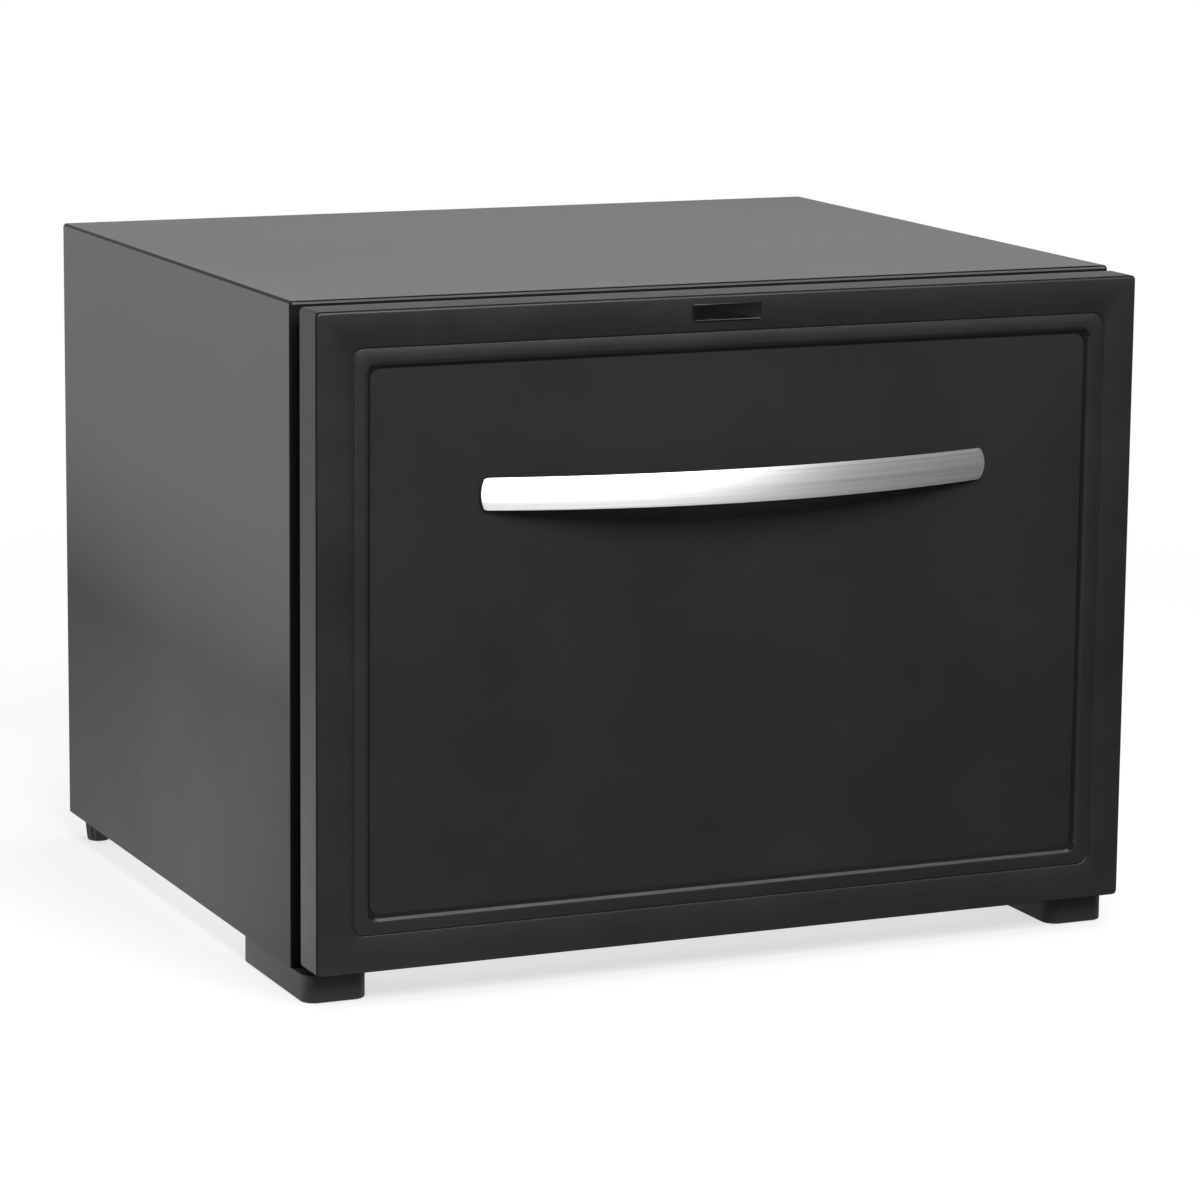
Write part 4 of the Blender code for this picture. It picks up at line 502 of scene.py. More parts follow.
def makePlacedTree():
    start = openTree("itemsOnPoints", Item="Object", Facing="Vector", Seed="Int")
    item = addNode("GeometryNodeObjectInfo", {"Object": start["Item"]}, "Geometry")
    facing = addNode("FunctionNodeAlignRotationToVector", {"Vector": start["Facing"]}, axis="Z")
    values = {"Points": start["Geometry"], "Instance": item, "Rotation": facing}
    placed = addNode("GeometryNodeInstanceOnPoints", values)
    values = {2: 0.0, 3: math.tau, 8: start["Seed"]}
    turn = addNode("FunctionNodeRandomValue", values, 1, data_type="FLOAT")
    about = addNode("FunctionNodeEulerToRotation", {0: addNode("ShaderNodeCombineXYZ", {"Z": turn})})
    values = {"Instances": placed, "Rotation": about, "Local Space": True}
    return closeTree(start, addNode("GeometryNodeRotateInstances", values))


def makeRowTree():
    start = openTree("itemsInRow", Item="Object", Count="Int", Start="Vector", Step="Vector")
    item = addNode("GeometryNodeObjectInfo", {"Object": start["Item"]}, "Geometry")
    values = {"Count": start["Count"], "Start Location": start["Start"], "Offset": start["Step"]}
    line = addNode("GeometryNodeMeshLine", values)
    return closeTree(start, addNode("GeometryNodeInstanceOnPoints", {"Points": line, "Instance": item}))


trees = {"tube": makeTubeTree(), "placed": makePlacedTree(), "row": makeRowTree()}


def grown(name, kind, points, edges=(), **values):
    tree = trees[kind]
    mesh = bpy.data.meshes.new(name)
    mesh.from_pydata([tuple(point) for point in points], list(edges), [])
    piece = linked(name, mesh)
    modifier = piece.modifiers.new(tree.name, "NODES")
    modifier.node_group = tree
    for socket in tree.interface.items_tree:
        if socket.in_out == "INPUT" and socket.name in values:
            modifier[socket.identifier] = values[socket.name]
    apply(piece)
    shadeBy(piece.data, 32)
    return piece


def tube(name, points, radius, bend, material, sides):
    edges = [(i, i + 1) for i in range(len(points) - 1)]
    return grown(name, "tube", points, edges, Radius=radius, Bend=bend, Sides=sides, Material=material)


def scattered(name, item, points, facing, seed=1):
    return grown(name, "placed", points, Item=item, Facing=facing, Seed=seed, Material=runnerSteel)


def inRow(name, item, count, start, step):
    values = {"Item": item, "Count": count, "Start": start, "Step": step}
    row = grown(name, "row", [(0, 0, 0)], **values, Material=castAluminium)
    bpy.data.objects.remove(item)
    return dress(row, castAluminium)


# Cabinet shell

shell = dict(
    halfWidth=0.275, low=0.0175, high=0.4215, face=-0.1875, rear=0.2525, sheet=0.0008, corner=0.0025,
    nose=0.0012, unshadedStrip=0.0021, frontFlange=0.024, rearFlange=0.012,
)


def shellLine(inset, y, steps=8):
    half, top = shell["halfWidth"] - inset, shell["high"] - inset
    radius = max(shell["corner"] - inset, 0.6 * mm)
    line = [(-half, y, shell["low"])]
    for start, side in ((2, -1), (1, 1)):
        for step in range(steps + 1):
            angle = math.pi / 2 * (start - step / steps)
            x = side * (half - radius) + radius * math.cos(angle)
            line.append((x, y, top - radius + radius * math.sin(angle)))
    return line + [(half, y, shell["low"])]


def makeShell(halfWidth, high, face, rear, sheet, nose, unshadedStrip, frontFlange, rearFlange, **more):
    profile = [(frontFlange, face), (unshadedStrip, face)]
    profile += [(nose * fall, face + nose * rise) for rise, fall in quarter()]
    profile += [(nose * rise, rear - nose * fall) for rise, fall in quarter()]
    profile.append((rearFlange, rear))
    bm = bmesh.new()
    skin(bm, [shellLine(inset, y) for inset, y in profile])
    piece = thicken(meshPiece("cabinetShell", bm), sheet)
    dress(piece, charcoalPaint, "outer_wrap")

    def inPaintedShade(x, y, z, way):  # painted shade on the front bends, and on the returns behind them below a strip at the top, mitred at the top corners
        turned = abs(y - face) < mm and (halfWidth - abs(x) < high - z or high - z > unshadedStrip)
        return turned or onBend(x, y, z, way, face, nose, halfWidth, 0, high)

    repaint(piece, edgePlastic, inPaintedShade)


makeShell(**shell)
print("cabinet shell made")


# Drawer front

drawerFront = dict(
    face=-0.227, width=0.546, low=0.021, high=0.4195, thickness=0.0275, corner=0.003, arris=0.002,
    wall=0.0025, grooveInset=0.0227, grooveHalf=0.0008, grooveDepth=0.0009, grooveCorner=0.0075,
    bevelInset=0.0308, bevelWidth=0.0038, bevelCorner=0.0085, panelRecess=0.003, returnReach=0.0097,
    returnThickness=0.0018,
)
gasketShape = dict(inset=0.015, half=0.006, gap=0.012, clear=0.0003, corner=0.01)


def frontLoop(inset, depth, corner):
    low, high = drawerFront["low"] + inset, drawerFront["high"] - inset
    size = drawerFront["width"] - 2 * inset, high - low, max(corner, 0.4 * mm)
    return upright(drawerFront["face"] + depth, *size, 8, (0, (low + high) / 2))


def makeFrontFrame(face, width, low, high, thickness, corner, arris, wall, grooveInset, grooveHalf,
                   grooveDepth, grooveCorner, bevelInset, bevelWidth, bevelCorner, panelRecess, returnReach,
                   returnThickness):
    rows = [frontLoop(0, thickness, corner)]
    rows += [frontLoop(arris * rise, arris * fall, corner - arris * rise * 0.8) for rise, fall in quarter(7)]
    lip = 0.25 * mm
    groove = [(-grooveHalf - lip, 0), (-grooveHalf - lip * 0.3, 0.07), (-grooveHalf, 0.25)]
    groove += [(-grooveHalf * 0.8, 0.7), (-grooveHalf * 0.4, 0.95)]
    groove += [(0, 1)] + [(-offset, depth) for offset, depth in reversed(groove)]
    for offset, depth in groove:
        rows.append(frontLoop(grooveInset + offset, grooveDepth * depth, grooveCorner - offset))
    deep, back = panelRecess - 0.3 * mm, thickness - returnThickness
    bevel = [(-0.1, 0), (0.02, 0.02), (0.12, 0.09), (0.5, 0.45), (0.78, 0.7), (1.0, 0.88), (1.0, 1.0)]
    for share, drop in bevel:
        reach = bevelWidth * share
        rows.append(frontLoop(bevelInset + reach, deep * drop, bevelCorner - reach / 2))
    rows += [frontLoop(wall, depth, corner) for depth in (deep, back)]
    rows += [frontLoop(returnReach, depth, gasketShape["corner"]) for depth in (back, thickness)]
    piece = solidSkin("drawerFrame", rows, ring=True, sharpAngle=40)
    dress(piece, framePlastic, "front_frame", body="drawer")
    half, foot = width / 2, bevelInset + 0.55 * bevelWidth

    # painted shade: the inner part of the bevel next to the panel, and dark lines on the arris
    def inPaintedShade(x, y, z, way):
        inShadedBevelFoot = min(half - abs(x), z - low, high - z) > foot and y < face + panelRecess
        return inShadedBevelFoot or onBend(x, y, z, way, face + arris * 0.2, arris, half, low, high)

    # painted light on the frame's outer sides, top and bottom
    def aside(x, y, z, way):
        return (abs(x) > half - arris or z > high - arris or z < low + arris) and abs(way.y) < 0.03

    repaint(piece, edgePlastic, inPaintedShade)
    repaint(piece, frameSides, aside)


def makeGasket(inset, half, gap, clear, corner):
    outer = [(1.0, 0.0), (1.0, 0.05), (0.96, 0.1), (0.62, 0.16), (0.52, 0.22), (0.6, 0.28), (0.9, 0.33)]
    outer += [(0.98, 0.38), (0.92, 0.43), (0.66, 0.47), (0.62, 0.52), (0.78, 0.56), (0.97, 0.6)]
    outer += [(1.0, 0.66), (1.0, 0.92), (0.95, 0.98), (0.88, 1.0)]
    profile = [(half * share, clear + (gap - 2 * clear) * depth) for share, depth in outer]
    profile += [(-offset, depth) for offset, depth in reversed(profile)]
    thickness = drawerFront["thickness"]
    rows = [frontLoop(inset + offset, thickness + depth, corner - offset) for offset, depth in profile]
    dress(solidSkin("doorGasket", rows, ring=True, sharpAngle=50), rubber, "gasket", body="drawer")


badge = dict(x=-0.0097, z=0.4089, width=0.0454, height=0.0105, corner=0.0009, thickness=0.0008)


def makeBadge(x, z, width, height, corner, thickness):
    back = drawerFront["face"] - 0.3 * mm
    rows = []
    # outline set in by, depth: a flat back, a round edge, a slightly sunk face inside a fine rim
    shape = [(0.1, 0.0), (0.0, 0.1), (0.0, 0.45), (0.07, 0.62), (0.2, 0.76), (0.35, 0.8)]
    shape += [(0.55, 0.8), (0.66, 0.76), (0.75, 0.7)]
    for inset, rise in shape:
        inset *= mm
        size = width - 2 * inset, height - 2 * inset, max(corner - inset, 0.2 * mm)
        rows.append(upright(back - thickness * rise / 0.8, *size, 6, (x, z)))
    dress(solidSkin("bareBadgePlate", rows, sharpAngle=50), glossPlate, "badge_plate", body="drawer")


makeFrontFrame(**drawerFront)
makeGasket(**gasketShape)
makeBadge(**badge)
print("drawer front made")


# Handle

handle = dict(
    length=0.3376, z=0.3064, panelFace=-0.224, reach=0.0285, endReach=0.0026, height=0.0207,
    endHeight=0.0196, crown=0.0013, back=0.002, endBulge=0.0017, edgeRound=0.00035, endRound=0.0011,
    stations=120, across=14,
)


def makeHandleBand(length, z, panelFace, reach, endReach, height, endHeight, crown, back, endBulge,
                   edgeRound, endRound, stations, across):
    sag = reach - endReach
    arc = ((length / 2) ** 2 + sag**2) / (2 * sag)
    full = math.asin(length / 2 / arc)
    levels = [2 * j / across - 1 for j in range(across + 1)]
    rows = []
    for i in range(stations + 1):
        share = 0.65 * (2 * i / stations - 1) - 0.35 * math.cos(math.pi * i / stations)  # closer at the ends
        pinch = max(0.0, 1 - (1 - abs(share)) * length / 2 / endRound)
        tall = height - (height - endHeight) * share**2
        tall -= 2 * endRound * (1 - math.sqrt(max(0.0, 1 - pinch**2))) * 0.8
        rim = edgeRound / tall
        edge = [(-crown - edgeRound * 0.3, 1 - 0.6 * rim), (-crown - edgeRound, 1), (-back, 1)]
        loop = [(level**2, -crown * level**2, level * (1 - 2 * rim)) for level in levels]
        loop += [(1, offset, wide) for offset, wide in edge]
        loop += [(1, offset, -wide) for offset, wide in edge[::-1]]
        row = []
        for bulge, offset, wide in loop:
            angle = share * (full - endBulge / arc * bulge)
            y = panelFace - reach + arc - (arc + offset) * math.cos(angle)
            row.append(((arc + offset) * math.sin(angle), y, z + tall / 2 * wide))
        rows.append(row)
    dress(solidSkin("handleBow", rows, sharpAngle=38), handleMetal, "handle_band", body="drawer")


makeHandleBand(**handle)
print("handle made")


# Drawer inside

plugShape = dict(
    width=0.462, height=0.318, middle=0.2195, face=-0.1795, back=-0.1995, draft=0.002, corner=0.012,
    edge=0.004, recessInset=0.04, recessDepth=0.0025, thickness=0.0015, flangeInset=0.01,
)


def plugLoop(shrink, y, corner):
    size = plugShape["width"] - 2 * shrink, plugShape["height"] - 2 * shrink
    return upright(y, *size, max(corner - shrink, mm), 8, (0, plugShape["middle"]))


def makePlugLiner(face, back, draft, corner, edge, recessInset, recessDepth, thickness, flangeInset, **more):
    floor, inner = face - recessDepth, corner + recessInset
    steps = [(recessInset + 0.01, floor, inner)]
    for share in (0.0, 0.15, 0.5, 0.85, 1.0):
        ease = share * share * (3 - 2 * share)
        steps.append((recessInset + 0.004 * (1 - share), face - recessDepth * (1 - ease), inner))
    steps += [(draft + edge * fall, face - edge * rise, corner + draft) for rise, fall in quarter()]
    for shrink, lift in ((draft * 0.15, 0.002), (-0.0004, 0.0006), (-0.0018, 0)):
        steps.append((shrink, back + lift, corner))
    rows = [plugLoop(*step) for step in steps]
    for depth in (drawerFront["thickness"], drawerFront["thickness"] - thickness):
        rows.append(frontLoop(flangeInset, depth, gasketShape["corner"]))
    steps = [(thickness, back - thickness, corner), (draft + thickness, face - edge - thickness / 2, corner)]
    steps += [(draft + thickness + edge, face - thickness, corner), (recessInset, face - thickness, inner)]
    steps.append((recessInset + 0.004, floor - thickness, inner))
    rows += [plugLoop(*step) for step in steps]
    dress(solidSkin("plugLiner", rows, sharpAngle=40), linerPlastic, "front_liner", body="drawer")


makePlugLiner(**plugShape)

binShape = dict(
    half=0.2214, front=-0.174, back=0.0818, floor=0.065, height=0.14, rim=0.005, wall=0.002,
    draft=0.006, corner=0.018, lip=0.004, rimRound=0.0012, floorRound=0.004, slotLength=0.05,
    slotWidth=0.006, slotColumns=3, slotRows=4, dividerHeight=0.11, ribLength=0.005, ribWidth=0.002,
    ribGap=0.0013,
)


def binLoop(rise, shrink):
    values = binShape
    inset = shrink + values["draft"] * (1 - rise / values["height"]) + values["rim"]
    size = 2 * (values["half"] - inset), values["back"] - values["front"] - 2 * inset
    centre = 0, (values["front"] + values["back"]) / 2
    loop = roundedLoop(*size, max(values["corner"] - shrink, 0.003), 10, centre)
    return [(x, y, values["floor"] + rise) for x, y in loop]


def addPrism(bm, loop, low, high):
    skin(bm, [[(x, y, z) for x, y in loop] for z in (low, high)], closeRows=True, caps=True)


def makeBin(half, front, back, floor, height, rim, wall, draft, lip, rimRound, floorRound, slotLength,
            slotWidth, slotColumns, slotRows, dividerHeight, ribLength, ribWidth, ribGap, **more):
    under, inner = height - lip, floorRound - wall / 2
    steps = [(floorRound * rise, floorRound * fall) for rise, fall in quarter()]
    steps += [(under - 0.8 * mm, 0.0), (under - 0.2 * mm, -0.3 * mm), (under, -0.9 * mm)]
    steps += [(under, 0.4 * mm - rim), (under + 0.1 * mm, 0.1 * mm - rim), (under + 0.4 * mm, -rim)]
    steps += [(height - rimRound * fall, rimRound * rise - rim) for rise, fall in quarter()]
    steps += [(height - rimRound * rise, wall - rimRound * fall) for rise, fall in quarter()]
    steps += [(wall + inner * fall, wall + inner * rise) for rise, fall in quarter()]
    tub = solidSkin("drawerBin", [binLoop(*step) for step in steps], sharpAngle=40)
    bm = bmesh.new()
    for column in range(slotColumns):
        for row in range(slotRows):
            x = (column - 1) * 2 * half / 3
            y = (front + back) / 2 + (row - 1.5) * (back - front) / (slotRows + 1)
            loop = roundedLoop(slotLength, slotWidth, slotWidth / 2 - 0.05 * mm, 6, (x, y))
            addPrism(bm, loop, floor - 0.002, floor + 0.006)
    tub = combine(tub, meshPiece("binSlots", bm), "DIFFERENCE")
    bm = bmesh.new()
    start = rim + wall / 2
    reach = start + draft + ribLength
    for x in (-half / 3, half / 3):
        for side in (-1, 1):
            for low, high in ((front + start, front + reach), (back - reach, back - start)):
                centre = x + side * (ribGap + ribWidth / 2), (low + high) / 2
                loop = roundedLoop(ribWidth, high - low, ribWidth * 0.35, 3, centre)
                addPrism(bm, loop, floor + wall / 2, floor + dividerHeight)
    tub = combine(tub, meshPiece("binRibs", bm))
    shadeBy(tub.data, 40)
    dress(tub, binPlastic, "drawer_bin", body="drawer")


makeBin(**binShape)

divider = dict(inset=0.0133, scoop=0.025, thickness=0.002, edge=0.0004, corner=0.006)
sides = (("left", -1), ("right", 1))


def makeDivider(side, sign, inset, scoop, thickness, edge, corner):
    start, end = binShape["front"] + inset, binShape["back"] - inset
    low = binShape["floor"] + binShape["wall"] + 0.3 * mm
    high = binShape["floor"] + binShape["dividerHeight"]
    middle, half = (start + end) / 2, (end - start) / 4
    dip = []
    for step in range(33):
        angle = math.pi * step / 32
        dip.append((middle + half * math.cos(angle), high - scoop * math.sin(angle) ** 0.8))
    left = filletLine([(middle, low), (start, low), (start, high), (middle - half, high)], corner)
    right = filletLine([(middle + half, high), (end, high), (end, low), (middle, low)], corner)
    outline = [tuple(point) for point in left] + dip[::-1][1:-1] + [tuple(point) for point in right][:-1]
    x = sign * binShape["half"] / 3
    piece = slab("binDivider" + side.title(), outline, x - thickness / 2, x + thickness / 2, "X", edge)
    dress(piece, clearPlastic, "divider_" + side, body="drawer")


for side, sign in sides:
    makeDivider(side, sign, **divider)
print("bin and dividers made")


# Runners

runner = {
    "wall": 0.2377,
    "z": 0.1195,
    "front": -0.1735,
    "length": 0.27,
    "sheet": 0.0012,
    "bend": 0.0011,
    "members": {  # web and reach from the cavity wall, half height, lip
        "fixed": (0.0006, 0.0096, 0.022, 0.0035),
        "middle": (0.0042, 0.0121, 0.0176, 0.0035),
        "drawer": (0.0139, 0.007, 0.0132, 0.0),
    },
    # web, row, place of the balls
    "cages": {"outer": (0.0024, 0.0198, 0.6), "inner": (0.0056, 0.0154, 0.55)},
    "cageSheet": 0.0008,
    "cageBend": 0.0006,
    "cageReach": 0.0052,
    "cageStart": -0.10225,
    "cageLength": 0.12,
    "ball": 0.0015,
    "balls": 4,
}


def channelLine(sign, web, reach, flange, lip):
    line = [(reach, -flange), (web, -flange), (web, flange), (reach, flange)]
    if lip:
        line = [(reach, -flange + lip), *line, (reach, flange - lip)]
    return [(sign * (runner["wall"] - u), runner["z"] + v) for u, v in line]


halfTurns = [math.pi * i / 8 for i in range(9)]
ballShape = [(runner["ball"] * math.sin(angle), runner["ball"] * math.cos(angle)) for angle in halfTurns]
ballItem = lathe("ballItem", ballShape, steps=12, sharpAngle=80)


def makeRunner(side, sign, wall, z, front, length, sheet, bend, members, cages, cageSheet, cageBend,
               cageReach, cageStart, cageLength, balls, **more):
    bodies = {"fixed": "cabinet", "middle": "runner_middle_" + side, "drawer": "drawer"}
    for kind, shape in members.items():
        name = "runner" + kind.title() + side.title()
        piece = foldedStrip(name, channelLine(sign, *shape), bend, front, front + length, sheet)
        dress(piece, runnerSteel, f"runner_{kind}_{side}", body=bodies[kind])
    for kind, (web, row, share) in cages.items():
        body = f"ball_cage_{kind}_{side}"
        line = channelLine(sign, web, web + cageReach, row, 0.0)
        name = kind.title() + side.title()
        end = cageStart + cageLength
        piece = foldedStrip("ballCage" + name, line, cageBend, cageStart, end, cageSheet, 0.15 * mm)
        dress(piece, blackPlastic, body, body=body)
        x = sign * (wall - web - cageReach * share)
        places = []
        for i in range(balls):
            y = cageStart + cageLength / balls * (i + 0.5)
            places += [(x, y, z - row), (x, y, z + row)]
        dress(scattered("balls" + name, ballItem, places, (0, 0, 1)), runnerSteel, body=body)


for side, sign in sides:
    makeRunner(side, sign, **runner)
print("runners made")


# Screws and rivets


def screwItem(name, radius, height, recess=True):
    profile = [(0, 0), (radius * 0.96, 0), (radius, height * 0.12), (radius, height * 0.35)]
    profile += [(radius * (1 - rise), height * (1 - 0.65 * fall)) for rise, fall in quarter(7)[1:]]
    screw = lathe(name, profile, steps=24)
    if recess:
        arm, half = radius * 0.52, radius * 0.11
        cross = [(arm, half), (half, half), (half, arm), (-half, arm), (-half, half), (-arm, half)]
        cross += [(-x, -y) for x, y in cross]
        screw = combine(screw, slab(name + "Cross", cross, height * 0.45, height * 1.2), "DIFFERENCE")
    return screw


items = dict(
    pan=screwItem("panScrew", 0.0034, 0.002), small=screwItem("smallScrew", 0.0025, 0.0015),
    flush=screwItem("flushScrew", 0.003, 0.0005, recess=False),
    rivet=screwItem("rivetHead", 0.0022, 0.0007, recess=False),
)
bulkheadPlaces = [(-0.262, z) for z in (0.2, 0.3, 0.385)] + [(0.262, z) for z in (0.06, 0.17, 0.28, 0.385)]
bulkheadPlaces += [(-0.17, 0.408), (-0.02, 0.408), (0.13, 0.408), (-0.1, 0.03), (0.08, 0.03)]
coverPlaces = [(x, z) for x in (-0.2565, -0.1555) for z in (0.053, 0.142)]
tabPlaces = [(x, z) for x in (-0.208, 0.208) for z in (0.083, 0.127)]
screwPlaces = {  # item, facing, body, places
    "bulkheadScrews": ("pan", (0, 1, 0), "cabinet", [(x, 0.1533, z) for x, z in bulkheadPlaces]),
    "coverScrews": ("small", (0, 1, 0), "cabinet", [(x, 0.2019, z) for x, z in coverPlaces]),
    "tabScrews": ("small", (0, 1, 0), "drawer", [(x, -0.178, z) for x, z in tabPlaces]),
}
for side, sign in sides:
    places = [(0.2365 * sign, y, runner["z"]) for y in (-0.158, -0.038, 0.082)]
    screwPlaces["wallScrews" + side.title()] = "flush", (-sign, 0, 0), "cabinet", places
for side, sign in sides:
    places = [(0.2244 * sign, y, runner["z"]) for y in (-0.16, -0.04, 0.08)]
    screwPlaces["memberRivets" + side.title()] = "rivet", (sign, 0, 0), "drawer", places
for seed, (name, (item, facing, body, places)) in enumerate(screwPlaces.items()):
    dress(scattered(name, items[item], places, facing, seed), runnerSteel, body=body)
print("screws set")


# The drawer's folded steel

for side, sign in sides:
    node = "side_frame_" + side
    dress(refined("sideFrame" + side.title(), node, 0.3 * mm), zincSheet, node, body="drawer")
dress(refined("rearCrossbar", "rear_crossbar", 0.3 * mm), zincSheet, "rear_crossbar", body="drawer")


# Cavity

cavity = {
    "half": 0.238,
    "low": 0.0535,
    "high": 0.3855,
    "back": 0.1125,
    "face": -0.1864,
    "corner": 0.008,
    "backRound": 0.008,
    "lip": 0.002,
    "wall": 0.0015,
    "flange": (0.5448, 0.4006, 0.2186),  # width, height, middle
    "opening": (0.1006, 0.0286, 0.31),
}


def cavityLoop(grow, y, corner):
    size = 2 * (cavity["half"] + grow), cavity["high"] - cavity["low"] + 2 * grow
    return upright(y, *size, max(corner, mm), 8, (0, (cavity["high"] + cavity["low"]) / 2))


def makeInnerTub(back, face, corner, backRound, lip, wall, flange, opening, **more):
    def framed(y, size, radius):
        return upright(y, *size[:2], radius, 8, (0, size[2]))

    def backCorner(rise, fall, grow):
        grown = grow - backRound * fall
        return cavityLoop(grown, back + grow - backRound * rise, corner + grown)

    rows = [framed(back, opening, mm)]
    rows += [backCorner(rise, fall, 0) for rise, fall in quarter()]
    rows += [cavityLoop(lip * rise, face + lip * fall, corner) for rise, fall in quarter()]
    rows += [framed(y, flange, corner) for y in (face, face + wall)]
    for grow, depth in ((lip, 0), (0, lip)):
        rows.append(cavityLoop(wall + grow, face + wall + depth, corner + wall))
    rows += [backCorner(rise, fall, wall) for rise, fall in reversed(quarter())]
    rows.append(framed(back + wall, opening, mm))
    dress(solidSkin("innerTub", rows, ring=True, sharpAngle=40), linerPlastic, "inner_liner")


makeInnerTub(**cavity)

evaporator = dict(
    width=0.18, low=0.255, high=0.365, back=0.1122, base=0.003, reach=0.024, fins=15, fin=0.0012,
    boss=(0.1, 0.028, 0.114),
)


def makeEvaporator(width, low, high, back, base, reach, fins, fin, boss):
    middle, root, tip, thick = (low + high) / 2, back - base, back - reach, fin / 2
    outline = roundedLoop(width, high - low, 0.002, 4, (0, middle))
    plate = slab("evaporatorPlate", outline, root, back, "Y", 0.5 * mm)
    wide, tall, end = boss
    outline = roundedLoop(wide, tall, mm, 2, (0, middle))
    plate = combine(plate, slab("evaporatorBoss", outline, root + mm, end, "Y"))
    dress(plate, castAluminium, "evaporator_fins")
    line = [(-thick, root + 0.0005), (-thick, root - 0.002), (-thick * 0.7, tip + 0.0006)]
    line.append((-thick * 0.35, tip))
    line += [(-x, y) for x, y in reversed(line)]
    item = slab("evaporatorFin", line, low, high, "Z", 0.2 * mm, 1)
    pitch = (width - fin) / (fins - 1)
    inRow("evaporatorFins", item, fins, (thick - width / 2, 0, 0), (pitch, 0, 0))


makeEvaporator(**evaporator)

lamp = dict(x=(0.06, 0.18), y=(0.0025, 0.0725), z=(0.3612, 0.3852), corner=0.006, edge=0.0022)
lens = dict(x=(0.075, 0.135), y=(0.0195, 0.0555), z=(0.3612, 0.3632), corner=0.003, gap=0.0003)
knob = dict(x=0.158, y=0.0022, z=0.3732, radius=0.0105, skirt=0.0048, face=0.0085, length=0.012)


def boxLoop(values, across="y", grow=0.0):
    (left, right), (front, back) = values["x"], values[across]
    size = right - left + 2 * grow, back - front + 2 * grow
    return roundedLoop(*size, values["corner"], 6, ((left + right) / 2, (front + back) / 2))


def makeLamp():
    housing = slab("lampHousing", boxLoop(lamp), *lamp["z"], "Z", lamp["edge"], 4)
    low, high = lens["z"]
    pocket = slab("lensPocket", boxLoop(lens, grow=lens["gap"]), low - 0.003, high + lens["gap"])
    housing = combine(housing, pocket, "DIFFERENCE")
    place = knob["x"], lamp["y"][0] - 0.001, knob["z"]
    bore = lathe("knobBore", [(0, 0), (0.0033, 0), (0.0033, 0.0095), (0, 0.0095)], place, (0, 1, 0))
    dress(combine(housing, bore, "DIFFERENCE"), linerPlastic, "light_housing")
    dress(slab("lampLens", boxLoop(lens), low, high, "Z", 0.4 * mm), clearPlastic, "light_lens")
    tip, back = knob["x"] - knob["radius"] - 0.0012, lamp["y"][0]
    mark = [(tip, knob["z"]), (tip - 0.0028, knob["z"] + 0.0014), (tip - 0.0028, knob["z"] - 0.0014)]
    dress(slab("lampPointer", mark, back - 0.3 * mm, back + 0.3 * mm, "Y"), blackPlastic)


def makeKnob(x, y, z, radius, skirt, face, length):
    shape = [(0.003, 0.008, 0), (0.003, 0.0, 0), (radius - 0.0006, 0.0, 1), (radius, -0.0006, 1)]
    shape += [(radius, -skirt + 0.0006, 1), (radius - 0.0006, -skirt, 1)]
    for out, rise in ((0.0004, 0.0003), (0, 0.0008), (-0.0004, 0.001)):
        shape.append((face + out, -skirt - rise, 0))
    rows = []
    for reach, level, fluted in shape:
        rows.append([(x + u, y + level, z + v) for u, v in ringPoints(reach, 144, 0.5 * mm * fluted, 24)])
    body = solidSkin("knobBody", rows, sharpAngle=40)
    loop = roundedLoop(0.004, 2 * face - 0.0004, 0.0012, 5, (x, z))
    body = combine(body, slab("knobGrip", loop, y - length, y - skirt, "Y", 0.9 * mm, 3))
    dress(body, blackPlastic, "thermostat_knob", body="thermostat_knob")
    loop = roundedLoop(0.0009, 0.0055, 0.0003, 3, (x, z + 0.0045))
    mark = slab("knobMark", loop, y - length - 0.00005, y - length + 0.0006, "Y")
    dress(mark, linerPlastic, body="thermostat_knob")


makeLamp()
makeKnob(**knob)
print("cavity made")


# Cooling unit

bay = 0.2029  # middle of the open bay, from front to back
jacket = dict(
    x=0.185, radius=0.027, low=0.0725, high=0.2725, bands=(0.024, 0.06), heaterLow=0.0542,
    heaterRadius=0.006,
)
vessel = dict(end=0.125, z=0.0625, radius=0.026, dome=0.01)
condenser = dict(
    middle=(-0.0275, bay, 0.3625), length=0.355, tilt=math.radians(2.5), radius=0.007, fins=24,
    pitch=0.012, finSize=(0.06, 0.046), fin=0.0006,
)


def makeJacket(x, radius, low, high, bands, heaterLow, heaterRadius):
    shape = [(0, 0.0012), (radius * 0.72, 0.0012), (radius * 0.8, 0.0002), (radius * 0.9, 0.0)]
    shape += [(radius - 0.0008, 0.0006), (radius, 0.002)]
    for level in bands:  # pressed round the shroud
        shape += [(radius, level - 0.003), (radius + 0.0003, level - 0.0026)]
        shape += [(radius + 0.0003, level + 0.0026), (radius, level + 0.003)]
    shape += [(reach, high - low - level) for reach, level in reversed(shape)]
    piece = lathe("boilerJacket", shape, (x, bay, low), steps=64)
    seam = roundedLoop(0.005, 0.0012, 0.0005, 4, (x + 0.01, bay + radius - 0.0022))
    seam = [(u, v - 0.37 * (u - x - 0.01)) for u, v in seam]
    piece = combine(piece, slab("jacketSeam", seam, low + 0.004, high - 0.004))
    dress(piece, jacketSheet, "boiler_jacket")
    shape = [(0, 0), (0.5, 0), (0.5, 0.0012), (0.86, 0.0012), (1, 0.002), (1, 0.0065), (0.9, 0.007)]
    shape += [(0.9, 0.0085), (1, 0.009), (1, 0.018), (0, 0.018)]
    shape = [(heaterRadius * share, level) for share, level in shape]
    dress(lathe("heaterCartridge", shape, (x, bay, heaterLow)), runnerSteel, "heater_cartridge")


